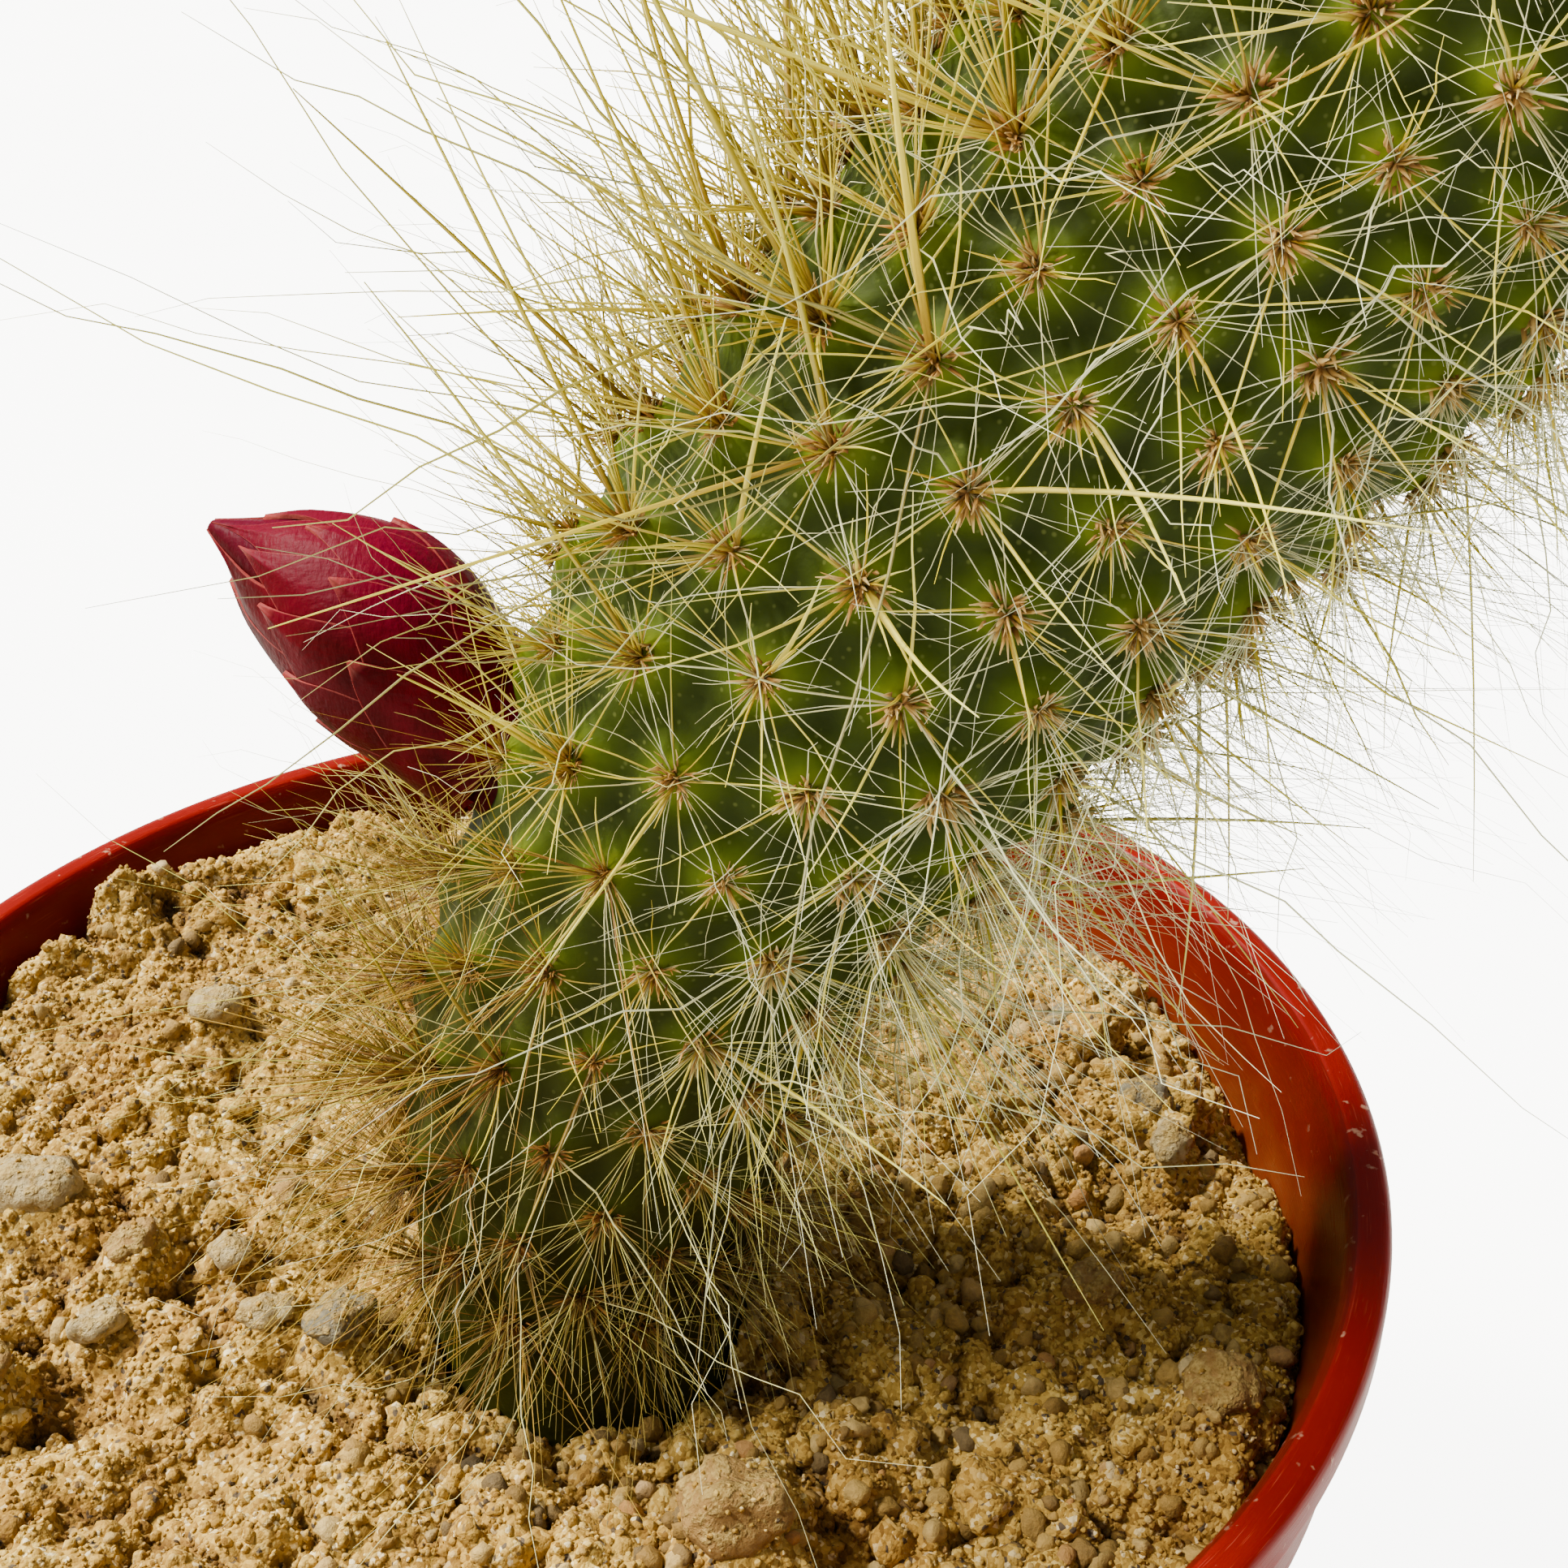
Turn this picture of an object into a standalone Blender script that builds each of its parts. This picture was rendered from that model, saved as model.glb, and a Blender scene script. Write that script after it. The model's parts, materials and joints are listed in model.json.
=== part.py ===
"""Potted monkey tail cactus: one arching, ribbed stem with spine tufts and a closed flower bud, growing in
sandy soil with pebbles, in a tapered plastic pot. Metres, +Z up. The origin is the centre of the pot's flat
base, and the front is -Y."""

import math
import random

import bmesh
import bpy
from mathutils import Matrix, Vector, noise
from mathutils.bvhtree import BVHTree

MM = 0.001
GAP = 0.35 * MM  # clearance between neighbouring pieces

# Pot
POT_HEIGHT = 88 * MM
RIM_RADIUS = 50 * MM
RIM_WIDTH = 2.6 * MM
RIM_DEPTH = 3.2 * MM
COLLAR_RADIUS = 48.6 * MM
COLLAR_DEPTH = 12 * MM
SHOULDER_RADIUS = 48.7 * MM
BASE_RADIUS = 35 * MM
BASE_ROUNDING = 2 * MM
WALL = 1.3 * MM
FLOOR = 2 * MM
POT_SEGMENTS = 48
DRAIN_COUNT = 8
DRAIN_RADIUS = 2 * MM
DRAIN_CIRCLE = 24 * MM

# Soil
SOIL_LEVEL = 81.4 * MM
SOIL_SLOPE = (-0.045, 0.012)  # rise per metre towards +X and +Y
SOIL_HEAP = (-32 * MM, 32 * MM, 3 * MM, 17 * MM)  # x, y, height and radius of a heap against the rim
SOIL_LUMPS = 0.9 * MM
LUMP_SIZE = 11 * MM
SOIL_SEGMENTS = 48
SOIL_RINGS = 7

# Stem: the centreline starts under the soil and arches up towards +X and the front
STEM_PATH = [
    (1.4, -6.6, 62.0),
    (1.4, -6.6, 73.0),
    (1.4, -6.6, 83.5),
    (2.5, -6.6, 93.0),
    (5.4, -6.4, 102.5),
    (9.7, -6.2, 111.8),
    (14.8, -6.0, 120.6),
    (20.8, -6.0, 128.9),
    (27.4, -6.4, 136.8),
    (34.2, -7.3, 144.8),
    (41.8, -9.0, 152.9),
    (51.0, -11.7, 160.4),
    (61.8, -15.0, 166.2),
    (73.5, -18.4, 169.2),
]  # mm
STEM_PROFILE = [
    (0, 7.0),
    (10, 9.4),
    (18, 10.2),
    (24, 10.3),
    (33, 11.2),
    (43, 11.7),
    (53, 12.6),
    (64, 14.0),
    (74, 14.2),
]  # length along the stem and radius there, in mm
NECK_HEIGHT = 21 * MM  # along the stem, from its buried end to the soil
TIP_LENGTH = 17 * MM  # the rounded end
RIBS = 18
RIB_HEIGHT = 1.0 * MM
RIBS_START = (20 * MM, 30 * MM)  # along the stem, where the ribs rise from its smooth neck
TUBERCLE = 0.5 * MM
POINTS_PER_RIB = 3
RIB_TURN = -21  # degrees, at the neck
RIB_TWIST = 0.4  # degrees for each millimetre along the stem
FIRST_ROW = 23.5 * MM  # the first row of areoles, along the stem
LOW_PITCH = 6.6 * MM  # between areoles of one rib, near the base
HIGH_PITCH = 5.0 * MM  # and near the tip
PITCH_CHANGE = (65 * MM, 105 * MM)

# Spine tufts
TUFT_RADIUS = 1.0 * MM
FIRST_TUFT_ROW = 4  # in half rows
TUFT_ROWS = 7  # half rows between rings of tufts
TUFTS_PER_RING = 4
RADIAL_SPINE = 6.5 * MM
SHORT_CENTRAL = 9 * MM
LONG_CENTRAL = 17 * MM

# Bud: its axis curves from the stem's left flank to its tip
BUD_PATH = [(-2.4, -5.0, 117.9), (-5.2, -3.8, 120.6), (-8.7, -2.2, 123.5), (-16.6, 0.5, 127.6)]  # mm
BUD_PROFILE = [(0.0, 3.6), (0.14, 4.6), (0.32, 5.4), (0.46, 5.5), (0.6, 4.9), (0.8, 2.7), (0.93, 1.1), (1.0, 0.35)]
SCALE_THICKNESS = 0.4 * MM
SCALE_TIERS = [(5, 0.05, 0.60, 2), (5, 0.15, 0.84, 1), (4, 0.34, 0.985, 0)]  # count, start, end, layer
SCALE_ROWS = 6
SCALE_COLUMNS = 4

# Pebbles: place on the soil, radius in mm and shade
PEBBLES = [
    (37.8, -18.6, 2.4, "tan"),
    (38.2, 8.8, 1.9, "grey"),
    (38.8, 3.9, 1.7, "white"),
    (32.0, -10.2, 2.0, "tan"),
    (10.2, -27.0, 2.8, "tan"),
    (-12.6, -13.6, 1.9, "grey"),
    (-17.0, -13.0, 1.5, "white"),
    (-20.3, -7.8, 1.4, "white"),
    (-33.4, -3.9, 2.8, "white"),
    (-27.0, -13.4, 1.5, "white"),
    (-17.9, -2.4, 1.4, "tan"),
    (-26.2, -7.6, 1.6, "tan"),
    (-33.0, -17.0, 2.2, "tan"),
    (-26.0, 14.5, 2.0, "white"),
    (33.6, 15.9, 1.5, "grey"),
    (24.0, 31.0, 2.1, "tan"),
    (-9.0, -38.0, 2.4, "tan"),
]

COLOURS = {
    "pot_plastic": ((0.42, 0.045, 0.022), 0.34),
    "sandy_soil": ((0.50, 0.35, 0.19), 0.95),
    "stem_skin": ((0.09, 0.16, 0.03), 0.5),
    "spine": ((0.72, 0.55, 0.22), 0.45),
    "bud_scale": ((0.34, 0.008, 0.045), 0.4),
    "bud_core": ((0.22, 0.01, 0.03), 0.5),
    "white": ((0.66, 0.62, 0.55), 0.7),
    "grey": ((0.33, 0.33, 0.31), 0.75),
    "tan": ((0.50, 0.30, 0.17), 0.75),
}


def clear_scene():
    for thing in list(bpy.data.objects):
        bpy.data.objects.remove(thing, do_unlink=True)


def material(name):
    found = bpy.data.materials.get(name)
    if found:
        return found
    colour, roughness = COLOURS[name]
    made = bpy.data.materials.new(name)
    made.use_nodes = True
    shader = made.node_tree.nodes["Principled BSDF"]
    shader.inputs["Base Color"].default_value = (*colour, 1)
    shader.inputs["Roughness"].default_value = roughness
    shader.inputs["Metallic"].default_value = 0
    return made


def add_piece(name, bm, finish, sharp_angle=40):
    """Makes the object of a mesh whose vertices are already in place."""
    bmesh.ops.recalc_face_normals(bm, faces=bm.faces)
    mesh = bpy.data.meshes.new(name)
    bm.to_mesh(mesh)
    bm.free()
    mesh.shade_smooth()
    mesh.set_sharp_from_angle(angle=math.radians(sharp_angle))
    mesh.materials.append(material(finish))
    piece = bpy.data.objects.new(name, mesh)
    bpy.context.scene.collection.objects.link(piece)
    return piece


def smoothstep(low, high, value):
    t = min(max((value - low) / (high - low), 0), 1)
    return t * t * (3 - 2 * t)


def hermite(start, pull_in, end, pull_out, f):
    """Between start and end at f, from 0 to 1, leaving along pull_in and arriving along pull_out."""
    return (
        start * (2 * f**3 - 3 * f**2 + 1)
        + pull_in * (f**3 - 2 * f**2 + f)
        + end * (3 * f**2 - 2 * f**3)
        + pull_out * (f**3 - f**2)
    )


def profile_radius(profile, at):
    """The radius, in metres, at a place on a profile, which is smooth through its points."""
    last = len(profile) - 1
    at = min(max(at, profile[0][0]), profile[-1][0])
    i = next(n for n in range(last) if at <= profile[n + 1][0])
    slopes = []
    for k in (i, i + 1):
        (low, low_radius), (high, high_radius) = profile[max(k - 1, 0)], profile[min(k + 1, last)]
        slopes.append((high_radius - low_radius) / (high - low))
    (start, start_radius), (end, end_radius) = profile[i], profile[i + 1]
    span = end - start
    return hermite(start_radius, slopes[0] * span, end_radius, slopes[1] * span, (at - start) / span) * MM


def spline_point(points, t):
    """The point at t, from 0 to 1, on a smooth curve through points."""
    spans = len(points) - 1
    at = min(max(t, 0), 1) * spans
    i = min(int(at), spans - 1)
    before, start, end, after = (points[min(max(k, 0), spans)] for k in range(i - 1, i + 3))
    return hermite(start, (end - before) * 0.5, end, (after - start) * 0.5, at - i)


class Path:
    """A smooth curve that is read by its length, with frames that don't twist."""

    SAMPLES = 400

    def __init__(self, points, side):
        points = [Vector(p) * MM for p in points]
        self.at = [spline_point(points, k / self.SAMPLES) for k in range(self.SAMPLES + 1)]
        self.run = [0.0]
        for a, b in zip(self.at, self.at[1:]):
            self.run.append(self.run[-1] + (b - a).length)
        self.length = self.run[-1]
        self.along = []
        self.side = []
        for k in range(self.SAMPLES + 1):
            ahead = self.at[min(k + 1, self.SAMPLES)] - self.at[max(k - 1, 0)]
            self.along.append(ahead.normalized())
            side = (side - side.dot(self.along[-1]) * self.along[-1]).normalized()
            self.side.append(side)

    def frame(self, distance):
        """The place, the direction and two directions across, at a distance from the start."""
        last = self.SAMPLES - 1
        k = next((n for n in range(last) if self.run[n + 1] >= distance), last)
        f = (distance - self.run[k]) / (self.run[k + 1] - self.run[k])
        place = self.at[k].lerp(self.at[k + 1], f)
        along = self.along[k].lerp(self.along[k + 1], f).normalized()
        side = self.side[k].lerp(self.side[k + 1], f).normalized()
        return place, along, side, along.cross(side)


def ring_mesh(rings, low_end, high_end):
    """A closed mesh from equal rings of points, with a point at each end."""
    bm = bmesh.new()
    made = [[bm.verts.new(p) for p in ring] for ring in rings]
    count = len(rings[0])
    for lower, upper in zip(made, made[1:]):
        for k in range(count):
            after = (k + 1) % count
            bm.faces.new((lower[k], lower[after], upper[after], upper[k]))
    for ring, end in ((made[0], low_end), (made[-1], high_end)):
        tip = bm.verts.new(end)
        for k in range(count):
            bm.faces.new((ring[k], ring[(k + 1) % count], tip))
    return bm


def circle(radius, height, count, centre=(0, 0)):
    turns = [2 * math.pi * k / count for k in range(count)]
    return [Vector((centre[0] + radius * math.cos(a), centre[1] + radius * math.sin(a), height)) for a in turns]


def tree_of(bm):
    return BVHTree.FromBMesh(bm, epsilon=0)


# ---------------------------------------------------------------- pot


def outer_radius(z):
    """The pot's outer wall below its collar."""
    return BASE_RADIUS + (SHOULDER_RADIUS - BASE_RADIUS) * z / POT_HEIGHT


def inner_radius(z):
    """The pot's inner wall, from its floor to its rim."""
    foot = outer_radius(FLOOR) - WALL
    mouth = RIM_RADIUS - RIM_WIDTH
    return foot + (mouth - foot) * (z - FLOOR) / (POT_HEIGHT - FLOOR)


def pot_profile():
    """Radius and height from the middle of the underside, up the outside, over the rim and down the inside."""
    collar_foot = POT_HEIGHT - COLLAR_DEPTH
    outside = [(BASE_RADIUS - BASE_ROUNDING, 0)]
    for step in range(1, 4):
        a = math.radians(30 * step)
        reach = BASE_ROUNDING * (math.sin(a) - 1)
        outside.append((outer_radius(BASE_ROUNDING) + reach, BASE_ROUNDING * (1 - math.cos(a))))
    outside += [
        (outer_radius(collar_foot), collar_foot),
        (COLLAR_RADIUS, collar_foot + 1.2 * MM),
        (COLLAR_RADIUS, POT_HEIGHT - RIM_DEPTH),
    ]
    lip_round = RIM_WIDTH / 4
    for step in range(5):
        a = math.radians(-90 + 45 * step) if step < 2 else math.radians(45 * (step - 1))
        centre = POT_HEIGHT - RIM_DEPTH + lip_round if step < 2 else POT_HEIGHT - lip_round
        outside.append((RIM_RADIUS - lip_round + lip_round * math.cos(a), centre + lip_round * math.sin(a)))
    inside = [
        (RIM_RADIUS - RIM_WIDTH + 0.5 * MM, POT_HEIGHT),
        (inner_radius(POT_HEIGHT - 0.7 * MM), POT_HEIGHT - 0.7 * MM),
        (inner_radius(FLOOR + BASE_ROUNDING), FLOOR + BASE_ROUNDING),
        (inner_radius(FLOOR) - BASE_ROUNDING, FLOOR),
    ]
    return outside + inside


def make_pot():
    rings = [circle(r, z, POT_SEGMENTS) for r, z in pot_profile()]
    bm = ring_mesh(rings, (0, 0, 0), (0, 0, FLOOR))
    pot = add_piece("pot", bm, "pot_plastic", 30)
    cutter_bm = bmesh.new()
    for k in range(DRAIN_COUNT):
        a = 2 * math.pi * (k + 0.5) / DRAIN_COUNT
        place = Matrix.Translation((DRAIN_CIRCLE * math.cos(a), DRAIN_CIRCLE * math.sin(a), FLOOR / 2))
        bmesh.ops.create_cone(
            cutter_bm,
            cap_ends=True,
            segments=10,
            radius1=DRAIN_RADIUS,
            radius2=DRAIN_RADIUS,
            depth=3 * FLOOR,
            matrix=place,
        )
    cutter = add_piece("drain_cutter", cutter_bm, "pot_plastic")
    cutter.hide_render = True
    cutter.display_type = "WIRE"
    cut = pot.modifiers.new("drain_holes", "BOOLEAN")
    cut.operation = "DIFFERENCE"
    cut.solver = "EXACT"
    cut.object = cutter


# ---------------------------------------------------------------- stem


def stem_radius(path, s):
    """The mean radius of the stem at a distance from its buried end."""
    into_tip = max(s - (path.length - TIP_LENGTH), 0) / TIP_LENGTH
    return profile_radius(STEM_PROFILE, s / MM) * math.sqrt(max(1 - into_tip**2.2, 0))


def areole_rows(path):
    """Distances along the stem of its half rows: even ribs have an areole at each even one, odd ribs between."""
    rows = [FIRST_ROW]
    while rows[-1] < path.length:
        change = smoothstep(*PITCH_CHANGE, rows[-1])
        rows.append(rows[-1] + (LOW_PITCH + (HIGH_PITCH - LOW_PITCH) * change) / 2)
    return rows[:-1]


def stem_point(path, s, rib, half_row=0):
    """The surface at a distance along the stem and at a rib, where whole ribs are crests, and its outward side."""
    place, _, side, across = path.frame(s)
    turn = math.radians(360 * rib / RIBS + RIB_TURN + RIB_TWIST * (s - NECK_HEIGHT) / MM)
    outward = side * math.cos(turn) + across * math.sin(turn)
    radius = stem_radius(path, s)
    full_radius = STEM_PROFILE[-1][1] * MM
    ribbed = smoothstep(*RIBS_START, s) * radius / full_radius
    crest = math.cos(2 * math.pi * rib)
    bump = max(crest, 0) * (1 if (half_row + round(rib)) % 2 == 0 else -1)
    return place + outward * (radius + ribbed * (RIB_HEIGHT * crest + TUBERCLE * bump) / 2), outward


def make_stem(path):
    """The stem is one grown piece: buried root crown, neck, ribbed body and domed tip."""
    stops = [(f * NECK_HEIGHT, 0) for f in (0, 0.25, 0.5, 0.8, 0.97)]
    last_row = path.length - TIP_LENGTH * 0.4
    stops += [(s, half_row) for half_row, s in enumerate(areole_rows(path)) if s < last_row]
    stops += [(path.length - TIP_LENGTH * f, 0) for f in (0.28, 0.14, 0.05, 0.01)]
    steps = [k / POINTS_PER_RIB for k in range(RIBS * POINTS_PER_RIB)]
    rings = [[stem_point(path, s, rib, half_row)[0] for rib in steps] for s, half_row in stops]
    bm = ring_mesh(rings, path.frame(0)[0], path.frame(path.length)[0])
    tree = tree_of(bm)
    add_piece("stem", bm, "stem_skin", 50)
    return tree


# ---------------------------------------------------------------- spine tufts


def tuft_mesh(place, outward, along, long_spine, seed):
    """A woolly cushion with ten spines: one long central, three shorter and six nearly flat."""
    rng = random.Random(seed)
    bm = bmesh.new()
    bmesh.ops.create_icosphere(bm, subdivisions=1, radius=TUFT_RADIUS)
    bm.faces.ensure_lookup_table()
    face_up = bm.faces[0].normal.rotation_difference(Vector((0, 0, 1))).to_matrix()
    bmesh.ops.rotate(bm, verts=bm.verts, matrix=face_up)
    bm.normal_update()
    for face in list(bm.faces):
        lean = math.degrees(face.normal.angle(Vector((0, 0, 1))))
        if lean > 90:
            continue
        reach = long_spine if lean < 20 else SHORT_CENTRAL if lean < 60 else RADIAL_SPINE
        bmesh.ops.poke(bm, faces=[face], offset=reach * rng.uniform(0.85, 1.1))
    bmesh.ops.scale(bm, verts=[v for v in bm.verts if v.co.z < 0], vec=(1, 1, 0.35))
    across = outward.cross(along).normalized()
    basis = Matrix((across, outward.cross(across), outward)).transposed()
    spin = Matrix.Rotation(rng.uniform(0, 2 * math.pi), 3, "Z")
    bmesh.ops.transform(bm, matrix=Matrix.Translation(place) @ (basis @ spin).to_4x4(), verts=bm.verts)
    return bm


def clear_height(bm, tree, outward):
    """The least distance from the mesh's vertices down to a surface, along -outward."""
    drops = []
    for vert in bm.verts:
        hit, _, _, distance = tree.ray_cast(vert.co + outward * 20 * MM, -outward)
        if hit:
            drops.append(distance - 20 * MM)
    return min(drops)


def make_tufts(path, stem_tree, bud_base):
    """Rings of tufts along the stem, each turned from the one below, and a crown on the tip."""
    number = 0
    rows = areole_rows(path)
    for ring, half_row in enumerate(range(FIRST_TUFT_ROW, len(rows), TUFT_ROWS)):
        for k in range(TUFTS_PER_RING):
            rib = 2 * round((k + 0.5 * (ring % 2)) * RIBS / TUFTS_PER_RING / 2) + half_row % 2
            s = rows[half_row]
            place, outward = stem_point(path, s, rib, half_row)
            if s > path.length - TIP_LENGTH * 0.5 or (place - bud_base).length < 11 * MM:
                continue
            number += 1
            add_tuft(f"spine_tuft_{number:02d}", path.frame(s)[1], place, outward, stem_tree, number)
    tip, along, side, _ = path.frame(path.length)
    add_tuft("spine_tuft_crown", side, tip, along, stem_tree, 0)


def add_tuft(name, along, place, outward, stem_tree, seed):
    bm = tuft_mesh(place + outward * TUFT_RADIUS, outward, along, LONG_CENTRAL, seed)
    shift = GAP - clear_height(bm, stem_tree, outward)
    bmesh.ops.translate(bm, verts=bm.verts, vec=outward * shift)
    add_piece(name, bm, "spine", 30)


# ---------------------------------------------------------------- bud


def core_radius(t):
    """The bud's core leaves room for three layers of scales at its base and one at its tip."""
    layer = SCALE_THICKNESS + GAP
    layers = 3 - 2 * smoothstep(0.3, 0.85, t)
    return max(profile_radius(BUD_PROFILE, t) - layer * layers, 0.3 * MM)


def bud_point(path, t, turn, radius):
    place, _, side, across = path.frame(t * path.length)
    return place + (side * math.cos(turn) + across * math.sin(turn)) * radius


def make_bud_core(path):
    stops = [0, 0.1, 0.2, 0.32, 0.45, 0.58, 0.7, 0.8, 0.9]
    turns = [2 * math.pi * k / 14 for k in range(14)]
    rings = [[bud_point(path, t, a, core_radius(t)) for a in turns] for t in stops]
    bm = ring_mesh(rings, path.frame(0)[0], path.frame(0.95 * path.length)[0])
    add_piece("bud_core", bm, "bud_core", 60)


def scale_mesh(path, start, end, layer, middle, half_width):
    """A thin pointed scale that lies round the core in its layer."""
    offset = GAP + layer * (SCALE_THICKNESS + GAP)
    bm = bmesh.new()
    sheets = []
    for lift in (0, SCALE_THICKNESS):
        sheet = []
        for row in range(SCALE_ROWS + 1):
            v = row / SCALE_ROWS
            t = start + (end - start) * v
            width = half_width * (1 - v**2.4) + 0.04
            radius = core_radius(t) + offset + lift
            row_points = []
            for column in range(SCALE_COLUMNS + 1):
                u = 2 * column / SCALE_COLUMNS - 1
                row_points.append(bm.verts.new(bud_point(path, t, middle + u * width, radius)))
            sheet.append(row_points)
        sheets.append(sheet)
    inner, outer = sheets
    for sheet in sheets:
        for low, high in zip(sheet, sheet[1:]):
            for k in range(SCALE_COLUMNS):
                bm.faces.new((low[k], low[k + 1], high[k + 1], high[k]))
    rim_in = inner[0] + [r[-1] for r in inner[1:]] + inner[-1][-2::-1] + [r[0] for r in inner[-2:0:-1]]
    rim_out = outer[0] + [r[-1] for r in outer[1:]] + outer[-1][-2::-1] + [r[0] for r in outer[-2:0:-1]]
    for k in range(len(rim_in)):
        after = (k + 1) % len(rim_in)
        bm.faces.new((rim_in[k], rim_in[after], rim_out[after], rim_out[k]))
    return bm


def make_bud_scales(path):
    number = 0
    for count, start, end, layer in SCALE_TIERS:
        slit = GAP / (2 * (core_radius(start) + GAP))
        for k in range(count):
            number += 1
            middle = 2 * math.pi * (k + 0.5 * (layer % 2)) / count
            bm = scale_mesh(path, start, end, layer, middle, math.pi / count - slit - 0.05)
            add_piece(f"bud_scale_{number:02d}", bm, "bud_scale", 50)


# ---------------------------------------------------------------- soil and pebbles


def soil_height(x, y):
    lump = noise.noise(Vector((x, y, 0)) / LUMP_SIZE + Vector((3, 7, 1)))
    heap_x, heap_y, height, radius = SOIL_HEAP
    heap = height * math.exp(-((x - heap_x) ** 2 + (y - heap_y) ** 2) / radius**2)
    return SOIL_LEVEL + SOIL_SLOPE[0] * x + SOIL_SLOPE[1] * y + heap + SOIL_LUMPS * lump


def make_soil(path):
    """A plug that fills the pot, with an uneven top and a socket for the buried end of the stem."""
    foot = FLOOR + GAP
    centre = path.frame(0)[0]
    turns = [2 * math.pi * k / SOIL_SEGMENTS for k in range(SOIL_SEGMENTS)]
    wall = [foot, foot + BASE_ROUNDING, 30 * MM, 58 * MM]
    rings = []
    for z in wall:
        inset = BASE_ROUNDING if z == foot else 0
        rings.append(circle(inner_radius(z) - GAP - inset, z, SOIL_SEGMENTS))
    socket = stem_radius(path, NECK_HEIGHT) + GAP
    for step in range(SOIL_RINGS + 1):
        f = step / SOIL_RINGS
        ring = []
        for a in turns:
            reach = (inner_radius(SOIL_LEVEL) - GAP * 1.6) * (1 - f) + socket * f
            x = centre.x * f + reach * math.cos(a)
            y = centre.y * f + reach * math.sin(a)
            ring.append(Vector((x, y, soil_height(x, y) - (1.2 * MM if step == 0 else 0))))
        rings.append(ring)
    low = centre.z - GAP
    for depth in (0.8, 0.4):
        s = NECK_HEIGHT * depth
        rings.append(circle(stem_radius(path, s) + GAP, centre.z + s, SOIL_SEGMENTS, centre.xy))
    rings.append(circle(stem_radius(path, 0) + GAP, low, SOIL_SEGMENTS, centre.xy))
    bm = ring_mesh(rings, (0, 0, foot), (centre.x, centre.y, low))
    tree = tree_of(bm)
    add_piece("soil", bm, "sandy_soil", 60)
    return tree


def make_pebbles(soil_tree):
    for number, (x, y, radius, shade) in enumerate(PEBBLES, start=1):
        rng = random.Random(number)
        bm = bmesh.new()
        bmesh.ops.create_icosphere(bm, subdivisions=2, radius=radius * MM)
        for vert in bm.verts:
            bulge = noise.noise(vert.co / (radius * MM * 1.3) + Vector((number * 5, 0, 0)))
            vert.co *= 1 + 0.3 * bulge
        shape = Matrix.Diagonal((rng.uniform(0.95, 1.3), rng.uniform(0.8, 1.0), rng.uniform(0.6, 0.75), 1))
        spin = Matrix.Rotation(rng.uniform(0, math.pi), 4, "Z")
        place = Matrix.Translation((x * MM, y * MM, SOIL_LEVEL + 2 * radius * MM))
        bmesh.ops.transform(bm, matrix=place @ spin @ shape, verts=bm.verts)
        drop = clear_height(bm, soil_tree, Vector((0, 0, 1))) - GAP
        bmesh.ops.translate(bm, verts=bm.verts, vec=(0, 0, -drop))
        add_piece(f"pebble_{number:02d}", bm, shade, 45)


def main():
    clear_scene()
    stem_path = Path(STEM_PATH, Vector((0, -1, 0)))
    bud_path = Path(BUD_PATH, Vector((0, 0, 1)))
    make_pot()
    soil_tree = make_soil(stem_path)
    make_pebbles(soil_tree)
    stem_tree = make_stem(stem_path)
    make_bud_core(bud_path)
    make_bud_scales(bud_path)
    make_tufts(stem_path, stem_tree, bud_path.frame(0)[0])


main()
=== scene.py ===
"""The looks of the potted monkey tail cactus: ribbed skin, wool and spines, flower bud, sandy soil, pebbles
and pot. Metres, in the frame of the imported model."""

import json
import math

import bmesh
import bpy
import numpy as np
from mathutils import Matrix, Vector, noise


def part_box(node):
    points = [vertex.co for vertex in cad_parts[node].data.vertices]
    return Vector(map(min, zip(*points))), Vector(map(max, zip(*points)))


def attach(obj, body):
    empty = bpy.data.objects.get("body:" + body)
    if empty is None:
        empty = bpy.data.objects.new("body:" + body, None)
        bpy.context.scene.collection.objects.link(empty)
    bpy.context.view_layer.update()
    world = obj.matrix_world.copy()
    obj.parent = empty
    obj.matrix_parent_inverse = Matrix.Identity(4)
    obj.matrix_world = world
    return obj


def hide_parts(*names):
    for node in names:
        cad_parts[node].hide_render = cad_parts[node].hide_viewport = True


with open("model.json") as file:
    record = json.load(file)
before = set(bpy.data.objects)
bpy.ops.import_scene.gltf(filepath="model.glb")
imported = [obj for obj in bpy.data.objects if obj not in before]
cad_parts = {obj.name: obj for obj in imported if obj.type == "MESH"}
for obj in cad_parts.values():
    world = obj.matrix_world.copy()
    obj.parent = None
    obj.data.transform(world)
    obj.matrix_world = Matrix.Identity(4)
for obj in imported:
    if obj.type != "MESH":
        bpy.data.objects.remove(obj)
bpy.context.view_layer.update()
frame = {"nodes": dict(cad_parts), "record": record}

MM = 0.001

# Stem: the centreline starts under the soil and arches up towards +X and the front
STEM_PATH = [
    (1.4, -6.6, 62.0), (1.4, -6.6, 73.0), (1.4, -6.6, 83.5), (2.5, -6.6, 93.0), (5.4, -6.4, 102.5),
    (9.7, -6.2, 111.8), (14.8, -6.0, 120.6), (20.8, -6.0, 128.9), (27.4, -6.4, 136.8), (34.2, -7.3, 144.8),
    (41.8, -9.0, 152.9), (51.0, -11.7, 160.4), (61.8, -15.0, 166.2), (73.5, -18.4, 169.2),
]  # mm
STEM_PROFILE = [
    (0, 7.0), (10, 9.4), (18, 10.2), (24, 10.3), (33, 11.2), (43, 11.7), (53, 12.6), (64, 14.0), (74, 14.2),
]  # distance along it and radius, mm
FULL_RADIUS = STEM_PROFILE[-1][1] * MM
NECK_HEIGHT = 21 * MM  # along the stem, from its buried end to the soil
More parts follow.
